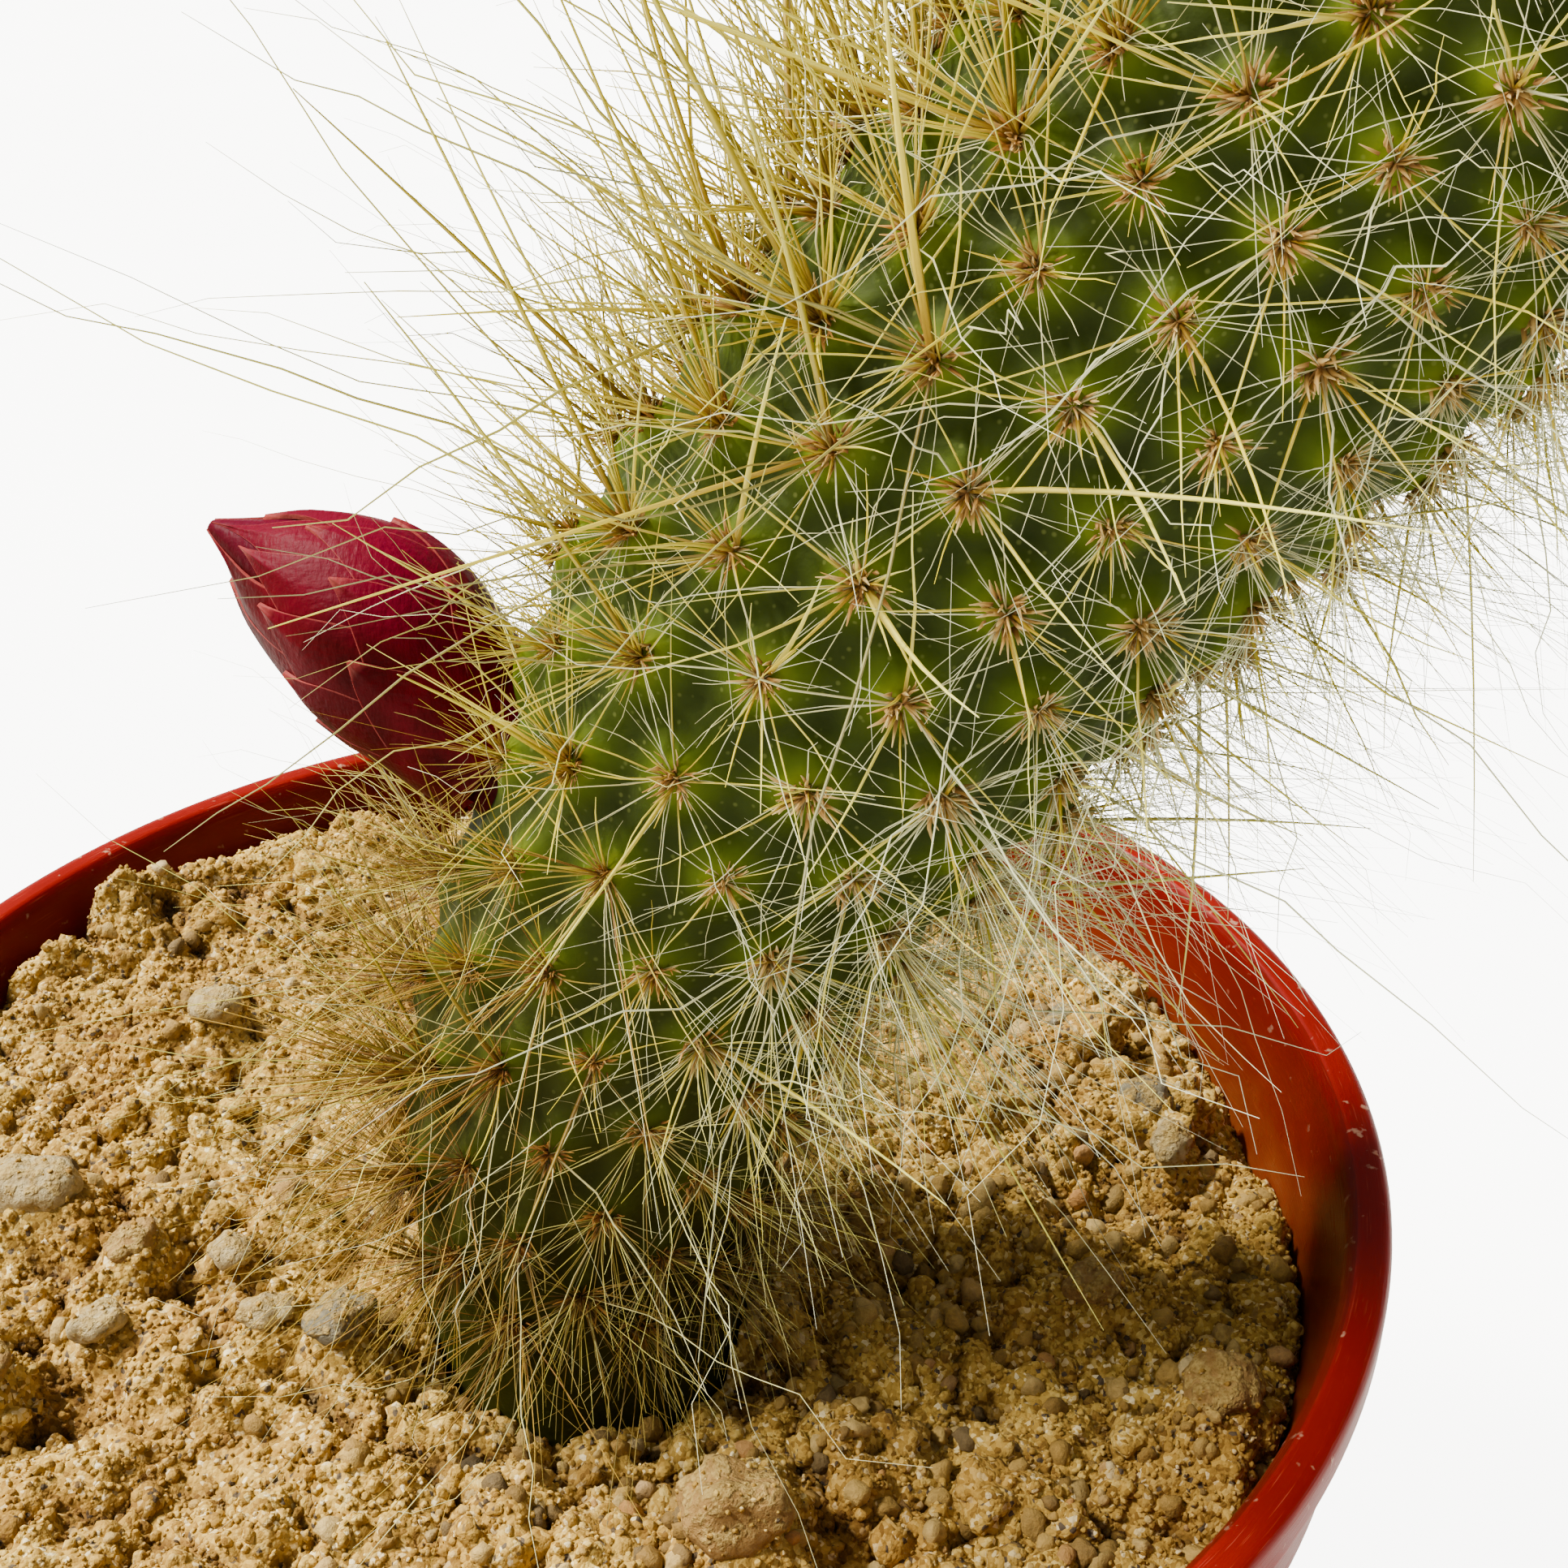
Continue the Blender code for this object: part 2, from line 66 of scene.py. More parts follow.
TIP_LENGTH = 17 * MM  # the rounded end
TIP_ROUNDING = 2.2
RIBS = 18
RIB_HEIGHT = 0.7 * MM
KNOB_HEIGHT = 0.9 * MM  # of the knob that carries each areole
RIBS_START = (20 * MM, 30 * MM)  # where they rise out of the smooth neck
RIB_TURN = -21  # degrees, at the neck
RIB_TWIST = 0.4  # degrees for each millimetre along the stem
FIRST_ROW = 23.5 * MM
LOW_PITCH = 6.6 * MM  # between areoles of one rib, near the base
HIGH_PITCH = 5.0 * MM  # and near the tip
PITCH_CHANGE = (65 * MM, 105 * MM)
DARKER_FOOT = (62 * MM, 26 * MM)  # where the skin starts to turn browner and darker towards the foot, and where it is darkest
SKIN_STEP = 0.5 * MM
POINTS_PER_RIB = 16
CROWN_RADIUS = 9.5 * MM  # of the tip's young growth
CROWN_AREOLES = 34
GOLDEN_ANGLE = math.pi * (3 - math.sqrt(5))

# Bud
BUD_PATH = [
    (1.6, -6.6, 114.6), (-2.4, -5.0, 117.9), (-5.2, -3.8, 120.6), (-8.7, -2.2, 123.5), (-16.6, 0.5, 127.6),
]  # mm
BUD_PROFILE = [
    (0.0, 3.4), (0.2, 4.0), (0.36, 4.8), (0.5, 5.3), (0.62, 5.0), (0.78, 3.5), (0.9, 1.55), (1.0, 0.12),
]  # part of its length and radius, mm
BUD_LAYERS = [
    (0.14, 0.50, 0.0), (0.20, 0.64, 0.4), (0.28, 0.76, 0.8), (0.36, 0.88, 0.2), (0.48, 0.985, 0.6),
]  # start and end along the bud, and turn in scales
SCALES_PER_LAYER = 5
BUD_CLEARING = 4.6 * MM  # no areole is closer to the bud's base

# Soil
SOIL_LEVEL = 81.4 * MM
SOIL_SLOPE = (-0.045, 0.012)  # rise per metre towards +X and +Y
SOIL_HEAP = (-32 * MM, 32 * MM, 3 * MM, 17 * MM)  # x, y, height and radius of a heap against the rim
SOIL_CELLS = 250  # across the pot
PITS = [(24.8, -16.4, 2.0, 3.0), (33.0, 1.0, 5.0, 2.4), (19.0, -21.5, 3.2, 1.8), (-27.0, -21.0, 3.5, 1.2)]
# x, y, radius and depth, mm
WANDER_SHIFTS = ((9.3, -1.5, -8.0), (2.1, 6.7, 3.4), (-6.3, 11.2, -3.1))  # where each axis reads its noise

# Pot
RIM_RADIUS = 50 * MM
COLLAR_RADIUS = 48.6 * MM
OUTER_SHOULDER = 46.8 * MM
OUTER_FOOT = 33.0 * MM
INNER_MOUTH = 47.4 * MM
INNER_FOOT = 34.0 * MM
FLOOR = 2 * MM
POT_HEIGHT = 88 * MM
WALL_SLOPE = (INNER_MOUTH - INNER_FOOT) / (POT_HEIGHT - FLOOR)
POT_TURNS = 256
DRAIN_HOLES = 8
DRAIN_CIRCLE = 24 * MM
DRAIN_RADIUS = 2 * MM

# Light
ROOM_LIGHT = 0.42
BACKDROP_LIGHT = 9  # more of it that only shows behind the object
FLOOR_GLOW = 7
SUN_LIGHT = 9.2
SIDE_LIGHT = 5.4


# ---------------------------------------------------------------- shapes and numbers


def smoothstep(low, high, value):
    t = np.clip((value - low) / (high - low), 0, 1)
    return t * t * (3 - 2 * t)


def hermite(start, pull_in, end, pull_out, f):
    """Between start and end at f, from 0 to 1, leaving along pull_in and arriving along pull_out."""
    return (
        start * (2 * f**3 - 3 * f**2 + 1)
        + pull_in * (f**3 - 2 * f**2 + f)
        + end * (3 * f**2 - 2 * f**3)
        + pull_out * (f**3 - f**2)
    )


def read_profile(profile, at):
    """Values in metres at places on a profile of (place, millimetres), smooth through its points."""
    place, value = np.array(profile, float).T
    slope = np.gradient(value)
    slope[1:-1] = (value[2:] - value[:-2]) / (place[2:] - place[:-2])
    slope[0] = (value[1] - value[0]) / (place[1] - place[0])
    slope[-1] = (value[-1] - value[-2]) / (place[-1] - place[-2])
    at = np.clip(at, place[0], place[-1])
    i = np.clip(np.searchsorted(place, at) - 1, 0, len(place) - 2)
    span = place[i + 1] - place[i]
    return hermite(value[i], slope[i] * span, value[i + 1], slope[i + 1] * span, (at - place[i]) / span) * MM


def unit(vectors):
    return vectors / np.linalg.norm(vectors, axis=-1, keepdims=True)


class Path:
    """A smooth curve that is read by its length, with frames that don't twist."""

    SAMPLES = 400

    def __init__(self, points, side):
        points = np.array(points, float) * MM
        last = len(points) - 1
        t = np.linspace(0, last, self.SAMPLES + 1)
        i = np.minimum(t.astype(int), last - 1)
        before, start, end, after = (points[np.clip(i + k, 0, last)] for k in (-1, 0, 1, 2))
        self.at = hermite(start, (end - before) / 2, end, (after - start) / 2, (t - i)[:, None])
        self.run = np.append(0, np.cumsum(np.linalg.norm(np.diff(self.at, axis=0), axis=1)))
        self.length = self.run[-1]
        self.along = unit(np.gradient(self.at, axis=0))
        self.side = np.empty_like(self.at)
        for k, along in enumerate(self.along):
            side = unit(side - np.dot(side, along) * along)
            self.side[k] = side

    def read(self, values, distance):
        return np.stack([np.interp(distance, self.run, values[:, k]) for k in range(3)], axis=-1)

    def frame(self, distance):
        """The places, the directions and two directions across, at distances from the start."""
        along = unit(self.read(self.along, distance))
        side = self.read(self.side, distance)
        side = unit(side - np.sum(side * along, axis=-1, keepdims=True) * along)
        return self.read(self.at, distance), along, side, np.cross(along, side)


STEM = Path(STEM_PATH, np.array((0.0, -1.0, 0.0)))
BUD = Path(BUD_PATH, np.array((0.0, 0.0, 1.0)))


def link_object(name, data):
    made = bpy.data.objects.new(name, data)
    bpy.context.scene.collection.objects.link(made)
    return made


def mesh_object(name, verts, faces):
    mesh = bpy.data.meshes.new(name)
    mesh.from_pydata([tuple(v) for v in verts], [], faces)
    mesh.update()
    return link_object(name, mesh)


def bmesh_object(name, bm):
    mesh = bpy.data.meshes.new(name)
    bm.to_mesh(mesh)
    bm.free()
    return link_object(name, mesh)


def finish_mesh(piece, material, sharp_angle=None):
    """Smooth shading, edges over sharp_angle degrees kept sharp, faces outward, and the piece's material."""
    bm = bmesh.new()
    bm.from_mesh(piece.data)
    bmesh.ops.recalc_face_normals(bm, faces=bm.faces)
    bm.to_mesh(piece.data)
    bm.free()
    piece.data.shade_smooth()
    if sharp_angle:
        piece.data.set_sharp_from_angle(angle=math.radians(sharp_angle))
    piece.data.materials.clear()
    piece.data.materials.append(material)


def ring_faces(rings, count):
    """Faces of a closed skin of equal rings, numbered in order, with a last point at each end."""
    k = np.arange(count)
    after = (k + 1) % count
    faces = []
    for low in range(0, (rings - 1) * count, count):
        high = low + count
        faces += np.stack([low + k, low + after, high + after, high + k], axis=1).tolist()
    top = (rings - 1) * count
    faces += np.stack([after, k, np.full(count, rings * count)], axis=1).tolist()
    faces += np.stack([top + k, top + after, np.full(count, rings * count + 1)], axis=1).tolist()
    return faces


def store(piece, name, values):
    """Puts one number or one vector for each vertex on the piece."""
    values = np.asarray(values, np.float32)
    kind, key = ("FLOAT", "value") if values.ndim == 1 else ("FLOAT_VECTOR", "vector")
    piece.data.attributes.new(name, kind, "POINT").data.foreach_set(key, values.ravel())


def place_piece(piece, slot, *nodes):
    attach(piece, "root")
    if nodes:
        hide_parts(*nodes)


# ---------------------------------------------------------------- node trees


class Value:
    """An output of a node. Arithmetic on it adds a node, and value[name] is another output of its node."""

    def __init__(self, socket):
        self.socket = socket
        self.tree = socket.id_data

    def __getitem__(self, output):
        return Value(self.socket.node.outputs[output])

    def __add__(self, other):
        return maths("ADD", self, other)

    def __sub__(self, other):
        return maths("SUBTRACT", self, other)

    def __mul__(self, other):
        return maths("MULTIPLY", self, other)

    def __pow__(self, other):
        return maths("POWER", self, other)


def add(tree, kind, inputs=None, **settings):
    """Adds a node and gives its first output. inputs maps socket names or numbers to values or outputs."""
    made = tree.nodes.new(kind)
    for key, value in settings.items():
        setattr(made, key, value)
    for key, value in (inputs or {}).items():
        if isinstance(value, Value):
            tree.links.new(value.socket, made.inputs[key])
        else:
            made.inputs[key].default_value = value
    return Value(made.outputs[0])


def tree_of(values):
    return next(value.tree for value in values if isinstance(value, Value))


def maths(operation, *values):
    return add(tree_of(values), "ShaderNodeMath", dict(enumerate(values)), operation=operation)


def vector_maths(operation, *values):
    places = (0, 3) if operation == "SCALE" else (0, 1)
    return add(tree_of(values), "ShaderNodeVectorMath", dict(zip(places, values)), operation=operation)


def scaled(vector, factor):
    return vector_maths("SCALE", vector, factor)


def combined(tree, **axes):
    return add(tree, "ShaderNodeCombineXYZ", axes)


def split(vector):
    return add(vector.tree, "ShaderNodeSeparateXYZ", {0: vector})


def chance(low, high, seed, number):
    """A random number between low and high for each element that number tells apart."""
    inputs = {2: low, 3: high, 7: number, 8: seed}
    return add(number.tree, "FunctionNodeRandomValue", inputs, data_type="FLOAT")[1]


def chance_vector(reach, seed, number):
    inputs = {0: (-1, -1, -1), 1: (1, 1, 1), 7: number, 8: seed}
    return scaled(add(number.tree, "FunctionNodeRandomValue", inputs, data_type="FLOAT_VECTOR"), reach)


def read_attribute(tree, name, kind="FLOAT"):
    return add(tree, "GeometryNodeInputNamedAttribute", {"Name": name}, data_type=kind)


def store_attribute(geometry, name, value, kind="FLOAT", domain="POINT"):
    inputs = {"Geometry": geometry, "Name": name, "Value": value}
    return add(geometry.tree, "GeometryNodeStoreNamedAttribute", inputs, data_type=kind, domain=domain)


def move_points(geometry, **inputs):
    return add(geometry.tree, "GeometryNodeSetPosition", {"Geometry": geometry, **inputs})


def new_group(name, **defaults):
    """A geometry node tree with named inputs, given with _ for spaces and with their defaults."""
    tree = bpy.data.node_groups.new(name, "GeometryNodeTree")
    tree.interface.new_socket("Geometry", in_out="INPUT", socket_type="NodeSocketGeometry")
    tree.interface.new_socket("Geometry", in_out="OUTPUT", socket_type="NodeSocketGeometry")
    for key, default in defaults.items():
        kind = {int: "Int", float: "Float", tuple: "Vector"}.get(type(default), "Material")
        label = key.replace("_", " ")
        socket = tree.interface.new_socket(label, in_out="INPUT", socket_type="NodeSocket" + kind)
        if default is not None:
            socket.default_value = default
    given = add(tree, "NodeGroupInput")
    tree.nodes.new("NodeGroupOutput")
    return tree, given


def finish_group(geometry, material):
    geometry = add(geometry.tree, "GeometryNodeSetMaterial", {"Geometry": geometry, "Material": material})
    geometry.tree.links.new(geometry.socket, geometry.tree.nodes["Group Output"].inputs[0])


def grow(name, carrier, tree, slot, nodes, **values):
    """Places the plain mesh that the tree makes on the carrier, which stays as it is. The tree's inputs are
    given with _ for spaces."""
    made = carrier.modifiers.new("grow", "NODES")
    made.node_group = tree
    for socket in tree.interface.items_tree:
        key = socket.name.replace(" ", "_")
        if socket.in_out == "INPUT" and key in values:
            made[socket.identifier] = values[key]
    depsgraph = bpy.context.evaluated_depsgraph_get()
    mesh = bpy.data.meshes.new_from_object(
        carrier.evaluated_get(depsgraph), preserve_all_data_layers=True, depsgraph=depsgraph
    )
    carrier.modifiers.remove(made)
    mesh.name = name
    mesh.shade_smooth()
    place_piece(link_object(name, mesh), slot, *nodes)


def new_material(name, roughness, **constants):
    """A material, its tree and its shader, with constant values on the shader's sockets."""
    made = bpy.data.materials.new(name)
    made.use_nodes = True
    tree = made.node_tree
    shader = tree.nodes["Principled BSDF"]
    shader.inputs["Roughness"].default_value = roughness
    for key, value in constants.items():
        shader.inputs[key.replace("_", " ")].default_value = value
    return made, tree, shader


def feed(shader, name, value):
    value.tree.links.new(value.socket, shader.inputs[name])


def object_coords(tree, scale=(1, 1, 1)):
    place = add(tree, "ShaderNodeTexCoord")["Object"]
    return add(tree, "ShaderNodeMapping", {"Vector": place, "Scale": scale})


def shade_attribute(tree, name):
    return add(tree, "ShaderNodeAttribute", attribute_name=name)["Fac"]


def normal_up(tree):
    return split(add(tree, "ShaderNodeNewGeometry")["Normal"])["Z"]


def noise_of(coords, scale, detail=2.0, roughness=0.5):
    inputs = {"Vector": coords, "Scale": scale, "Detail": detail, "Roughness": roughness}
    return add(coords.tree, "ShaderNodeTexNoise", inputs)


def ramp(factor, *stops):
    """Colours or greys at stops, each (place, colour or number)."""
    made = add(factor.tree, "ShaderNodeValToRGB", {"Fac": factor})
    elements = made.socket.node.color_ramp.elements
    while len(elements) < len(stops):
        elements.new(0.5)
    for element, (at, colour) in zip(elements, stops):
        element.position = at
        element.color = (*colour, 1) if isinstance(colour, tuple) else (colour, colour, colour, 1)
    return made


def blend(factor, first, second, kind="MIX"):
    inputs = {"Factor": factor, 6: first, 7: second}
    for key in (6, 7):
        if isinstance(inputs[key], tuple):
            inputs[key] = (*inputs[key], 1)
    return add(tree_of(inputs.values()), "ShaderNodeMix", inputs, data_type="RGBA", blend_type=kind)[2]


def bump(shader, height, distance, strength):
    inputs = {"Height": height, "Distance": distance, "Strength": strength}
    feed(shader, "Normal", add(height.tree, "ShaderNodeBump", inputs))


# ---------------------------------------------------------------- stem skin


def areole_rows():
    """Distances of the half rows along the stem: even ribs have an areole at each even one."""
    rows = [FIRST_ROW]
    while rows[-1] < STEM.length:
        change = smoothstep(*PITCH_CHANGE, rows[-1])
        rows.append(rows[-1] + (LOW_PITCH + (HIGH_PITCH - LOW_PITCH) * change) / 2)
    return np.array(rows)


ROWS = areole_rows()


def stem_radius(s):
    into_tip = np.clip((s - (STEM.length - TIP_LENGTH)) / TIP_LENGTH, 0, 1)
    return read_profile(STEM_PROFILE, s / MM) * np.sqrt(1 - into_tip**TIP_ROUNDING)


def stem_surface(s, rib):
    """Places on the skin, its outward and along directions, and its height from 0, furrow, to 1, knob."""
    place, along, side, across = STEM.frame(s)
    turn = np.radians(360 * rib / RIBS + RIB_TURN + RIB_TWIST * (s - NECK_HEIGHT) / MM)[..., None]
    outward = side * np.cos(turn) + across * np.sin(turn)
    radius = stem_radius(s)
    half_row = np.interp(s, ROWS, np.arange(len(ROWS)))
    rib_wave = np.cos(2 * math.pi * rib)
    knob_wave = np.cos(math.pi * rib) * np.cos(math.pi * half_row)
    knob = np.sign(knob_wave) * np.abs(knob_wave) ** 0.8
    ribbed = smoothstep(*RIBS_START, s) * radius / FULL_RADIUS
    lift = ribbed * (RIB_HEIGHT * rib_wave + KNOB_HEIGHT * knob) / 2
    step = 0.2 * MM
    slope = (stem_radius(s + step) - stem_radius(s - step)) / (2 * step)
    normal = unit(outward - along * np.clip(slope, -4, 4)[..., None])
    height = 0.5 + 0.5 * ribbed * (0.35 * rib_wave + 0.65 * knob)
    return place + outward * (radius + lift)[..., None], normal, along, height


def make_stem():
    buried = np.linspace(0, NECK_HEIGHT - 3 * MM, 8)[:-1]
    domed = STEM.length - TIP_LENGTH * np.linspace(0.55, 0, 40)[:-1] ** 1.8
    shown = np.arange(NECK_HEIGHT - 3 * MM, domed[0] - SKIN_STEP / 2, SKIN_STEP)
    s = np.concatenate([buried, shown, domed])
    count = RIBS * POINTS_PER_RIB
    rib = np.arange(count) / POINTS_PER_RIB
    points, _, _, height = stem_surface(s[:, None] + 0 * rib, rib + 0 * s[:, None])
    verts = np.concatenate([points.reshape(-1, 3), [STEM.at[0], STEM.at[-1]]])
    stem = mesh_object("cactus_stem", verts, ring_faces(len(s), count))
    store(stem, "height", np.append(height.ravel(), [0.5, 0.5]))
    store(stem, "foot_darkening", np.append(np.repeat(smoothstep(*DARKER_FOOT, s), count), [1, 0]))
    finish_mesh(stem, skin_material())
    place_piece(stem, "stem_skin", "stem")


def skin_material():
    """Waxy green skin: painted light on the knobs and painted shade in the furrows, mottled, with fine pale
    dots.
    """
    made, tree, shader = new_material(
        "stem_skin", 0.5, Specular_IOR_Level=0.1,
        Subsurface_Weight=0.12, Subsurface_Scale=0.002, Subsurface_Radius=(0.4, 1.0, 0.1),
    )
    coords = object_coords(tree)
    height = shade_attribute(tree, "height")
    mottle = noise_of(coords, 260, 4)
    # painted shade and light: the green is darkest in the furrows and brightest on the knobs
    green = ramp(
        maths("MULTIPLY_ADD", mottle, 0.36, height - 0.18),
        (0.10, (0.009, 0.014, 0.0003)),
        (0.42, (0.026, 0.040, 0.0006)),
        (0.70, (0.050, 0.075, 0.0009)),
        (1.00, (0.125, 0.158, 0.003)),
    )
    dots = add(tree, "ShaderNodeTexVoronoi", {"Vector": coords, "Scale": 1500})
    dotted = ramp(dots, (0.10, 1.0), (0.22, 0.0))
    colour = blend(dotted * 0.22, green, (0.22, 0.25, 0.06))
    # browner and darker towards the foot
    colour = blend(shade_attribute(tree, "foot_darkening") * 0.75, colour, (0.026, 0.023, 0.0015))
    feed(shader, "Base Color", colour)
    fine = noise_of(coords, 1800, 3)
    feed(shader, "Roughness", maths("MULTIPLY_ADD", fine, 0.2, 0.6))
    bump(shader, fine + mottle * 1.5, 0.00012, 0.6)
    return made


# ---------------------------------------------------------------- wool and spines


def strand_group():
    """Grows tapered strands out of areole points: each leans off the point's outward direction, bends,
    droops and kinks, and rests on the soil where it would go below it."""
    tree, given = new_group(
        "strands", Count=10, Points=4, Least_Lean=0.3, Most_Lean=1.2, Least_Length=0.005, Most_Length=0.01,
        Thickness=0.0001, Spread=0.0005, Bias=(0, 0, 0), Bend=0.1, Droop=0.0, Kink=0.0, Seed=1, Material=None,
    )

    def draw(low, high, step):
        return chance(low, high, given["Seed"] + step, index)

    def draw_vector(reach, step):
        return chance_vector(reach, given["Seed"] + step, index)

    def read(name):
        return read_attribute(tree, name)

    def read_vector(name):
        return read_attribute(tree, name, "FLOAT_VECTOR")

    def aside(first, second, angle):
        """The direction that is turned by an angle from the first towards the second."""
        level = scaled(first, maths("COSINE", angle))
        return vector_maths("ADD", level, scaled(second, maths("SINE", angle)))

    points = add(tree, "GeometryNodeMeshToPoints", {"Mesh": given["Geometry"]})
    index = add(tree, "GeometryNodeInputIndex")
    points = store_attribute(points, "spin", draw(0, 2 * math.pi, 1))
    inputs = {"Geometry": points, "Amount": given["Count"]}
    copies = add(tree, "GeometryNodeDuplicateElements", inputs, domain="POINT")
    outward, along = read_vector("outward"), read_vector("along")
    across = vector_maths("CROSS_PRODUCT", outward, along)
    azimuth = maths("MULTIPLY_ADD", copies["Duplicate Index"], GOLDEN_ANGLE, read("spin"))
    azimuth = azimuth + draw(-0.8, 0.8, 2)
    lean = draw(given["Least Lean"], given["Most Lean"], 3)
    round_way = aside(along, across, azimuth)
    way = vector_maths("NORMALIZE", vector_maths("ADD", aside(outward, round_way, lean), given["Bias"]))
    reach = draw(given["Least Length"], given["Most Length"], 4) * read("size")
    geometry = store_attribute(copies, "reach", reach)
    geometry = store_attribute(geometry, "girth", draw(0.6, 1.4, 9) * read("size"))
    geometry = store_attribute(geometry, "way", way, "FLOAT_VECTOR")
    geometry = store_attribute(geometry, "sway", draw_vector(given["Bend"], 5), "FLOAT_VECTOR")
    # the tint follows the areole's golden value, which is partly painted light
    tint = maths("MULTIPLY_ADD", draw(-0.5, 0.5, 6), 0.7, read("gold_and_sunlit"))
    tint = add(tree, "ShaderNodeClamp", {"Value": tint, "Min": 0.03, "Max": 0.97})
    geometry = store_attribute(geometry, "tint", tint)
    spread = given["Spread"] * draw(0.0, 1.0, 8)
    geometry = move_points(geometry, Offset=scaled(round_way, spread))

    line = add(tree, "GeometryNodeCurvePrimitiveLine", {"End": (0, 0, 1)})
    line = add(tree, "GeometryNodeResampleCurve", {"Curve": line, "Count": given["Points"]})
    turned = add(tree, "FunctionNodeAlignRotationToVector", {"Vector": read_vector("way")}, axis="Z")
    inputs = {"Points": geometry, "Instance": line, "Rotation": turned, "Scale": read("reach")}
    geometry = add(tree, "GeometryNodeInstanceOnPoints", inputs)
    geometry = add(tree, "GeometryNodeRealizeInstances", {"Geometry": geometry})
    run = add(tree, "GeometryNodeSplineParameter")["Factor"]
    geometry = store_attribute(geometry, "run", run)
    bent = scaled(read_vector("sway"), run**2.0)
    fall = run**1.7 * given["Droop"]
    fallen = combined(tree, Z=fall * -1.0)
    kinked = scaled(draw_vector(given["Kink"], 7), run)
    offset = vector_maths("ADD", vector_maths("ADD", bent, fallen), kinked)
    geometry = move_points(geometry, Offset=scaled(offset, read("reach")))

    place = split(add(tree, "GeometryNodeInputPosition"))
    ground = maths("MULTIPLY_ADD", place["X"], SOIL_SLOPE[0], SOIL_LEVEL + 1.0 * MM)
    raised = combined(tree, X=place["X"], Y=place["Y"], Z=maths("MAXIMUM", place["Z"], ground))
    geometry = move_points(geometry, Position=raised)
    taper = maths("MULTIPLY_ADD", run**1.5, -0.8, 1.0)
    thick = taper * given["Thickness"] * read("girth")
    ring = add(tree, "GeometryNodeCurvePrimitiveCircle", {"Resolution": 3, "Radius": 0.5})
    inputs = {"Curve": geometry, "Profile Curve": ring, "Scale": thick, "Fill Caps": True}
    geometry = add(tree, "GeometryNodeCurveToMesh", inputs)
    spot = combined(tree, X=read("run"), Y=read("tint"))
    geometry = store_attribute(geometry, "OFBake", spot, "FLOAT2", "CORNER")
    finish_group(add(tree, "GeometryNodeRealizeInstances", {"Geometry": geometry}), given["Material"])
    return tree


def strand_material(name, roughness, plain, rich, aged=None):
    """Colour along a strand, from base to tip: plain, then rich, then aged as the strand's tint rises."""
    made, tree, shader = new_material(name, roughness, Specular_IOR_Level=0.45)
    spot = split(add(tree, "ShaderNodeUVMap", uv_map="OFBake"))
    run, tint = spot["X"], spot["Y"]
    colour = blend(ramp(tint, (0.0, 0.0), (0.65, 1.0)), ramp(run, *plain), ramp(run, *rich))
    if aged:
        colour = blend(ramp(tint, (0.62, 0.0), (0.95, 0.9)), colour, ramp(run, *aged))
    feed(shader, "Base Color", colour)
    return made


def crown_places():
    """Young areoles, crowded in a spiral over the growing tip, as distances along the stem and ribs."""
    places = []
    for k in range(CROWN_AREOLES):
        radius = CROWN_RADIUS * math.sqrt((k + 0.4) / CROWN_AREOLES)
        into_tip = (1 - (radius / FULL_RADIUS) ** 2) ** (1 / TIP_ROUNDING)
        places.append((STEM.length - TIP_LENGTH * (1 - into_tip), k * GOLDEN_ANGLE / (2 * math.pi) * RIBS))
    return places


def areole_points(bud_base):
    """A point for each areole, with its outward and along directions, how golden its spines are and how
    strong.
    The golden value is partly the spines' own colour and partly painted light, higher on the side that faces
    the light. Also how far along the stem each is, and how much it faces the light."""
    places = [
        (s, rib) for n, s in enumerate(ROWS) for rib in range(n % 2, RIBS, 2) if stem_radius(s) > CROWN_RADIUS
    ]
    s, rib = np.array(places + crown_places()).T
    point, outward, along, _ = stem_surface(s, rib)
    from_bud = np.linalg.norm(point - bud_base, axis=1)
    keep = from_bud > BUD_CLEARING
    s, point, outward, along, from_bud = s[keep], point[keep], outward[keep], along[keep], from_bud[keep]
    carrier = mesh_object("areoles", point, [])
    lit_side = outward @ unit(np.array((-0.85, 0.1, 0.5)))
    # the lit_side term is painted light: spines facing the light are made more golden; the other terms make
    # them browner at the foot and golden at the young tip
    gold_and_sunlit = 0.07 + 0.46 * np.maximum(lit_side, -0.3) + 0.75 * smoothstep(64 * MM, 32 * MM, s)
    gold_and_sunlit += 0.4 * smoothstep(STEM.length - TIP_LENGTH, STEM.length - 6 * MM, s)
    size = 0.68 + 0.32 * smoothstep(26 * MM, 56 * MM, s) - 0.12 * smoothstep(90 * MM, 115 * MM, s)
    size *= np.random.default_rng(5).uniform(0.78, 1.16, len(s))
    store(carrier, "outward", outward)
    store(carrier, "along", along)
    store(carrier, "gold_and_sunlit", gold_and_sunlit)
    store(carrier, "size", size * (1 - 0.75 * np.exp(-((from_bud / (14.5 * MM)) ** 2))))
    return carrier, s / MM, lit_side


def subset(carrier, name, keep):
    """A carrier with only some of the points."""
    bm = bmesh.new()
    bm.from_mesh(carrier.data)
    bmesh.ops.delete(bm, geom=[v for v, kept in zip(list(bm.verts), keep) if not kept], context="VERTS")
    return bmesh_object(name, bm)


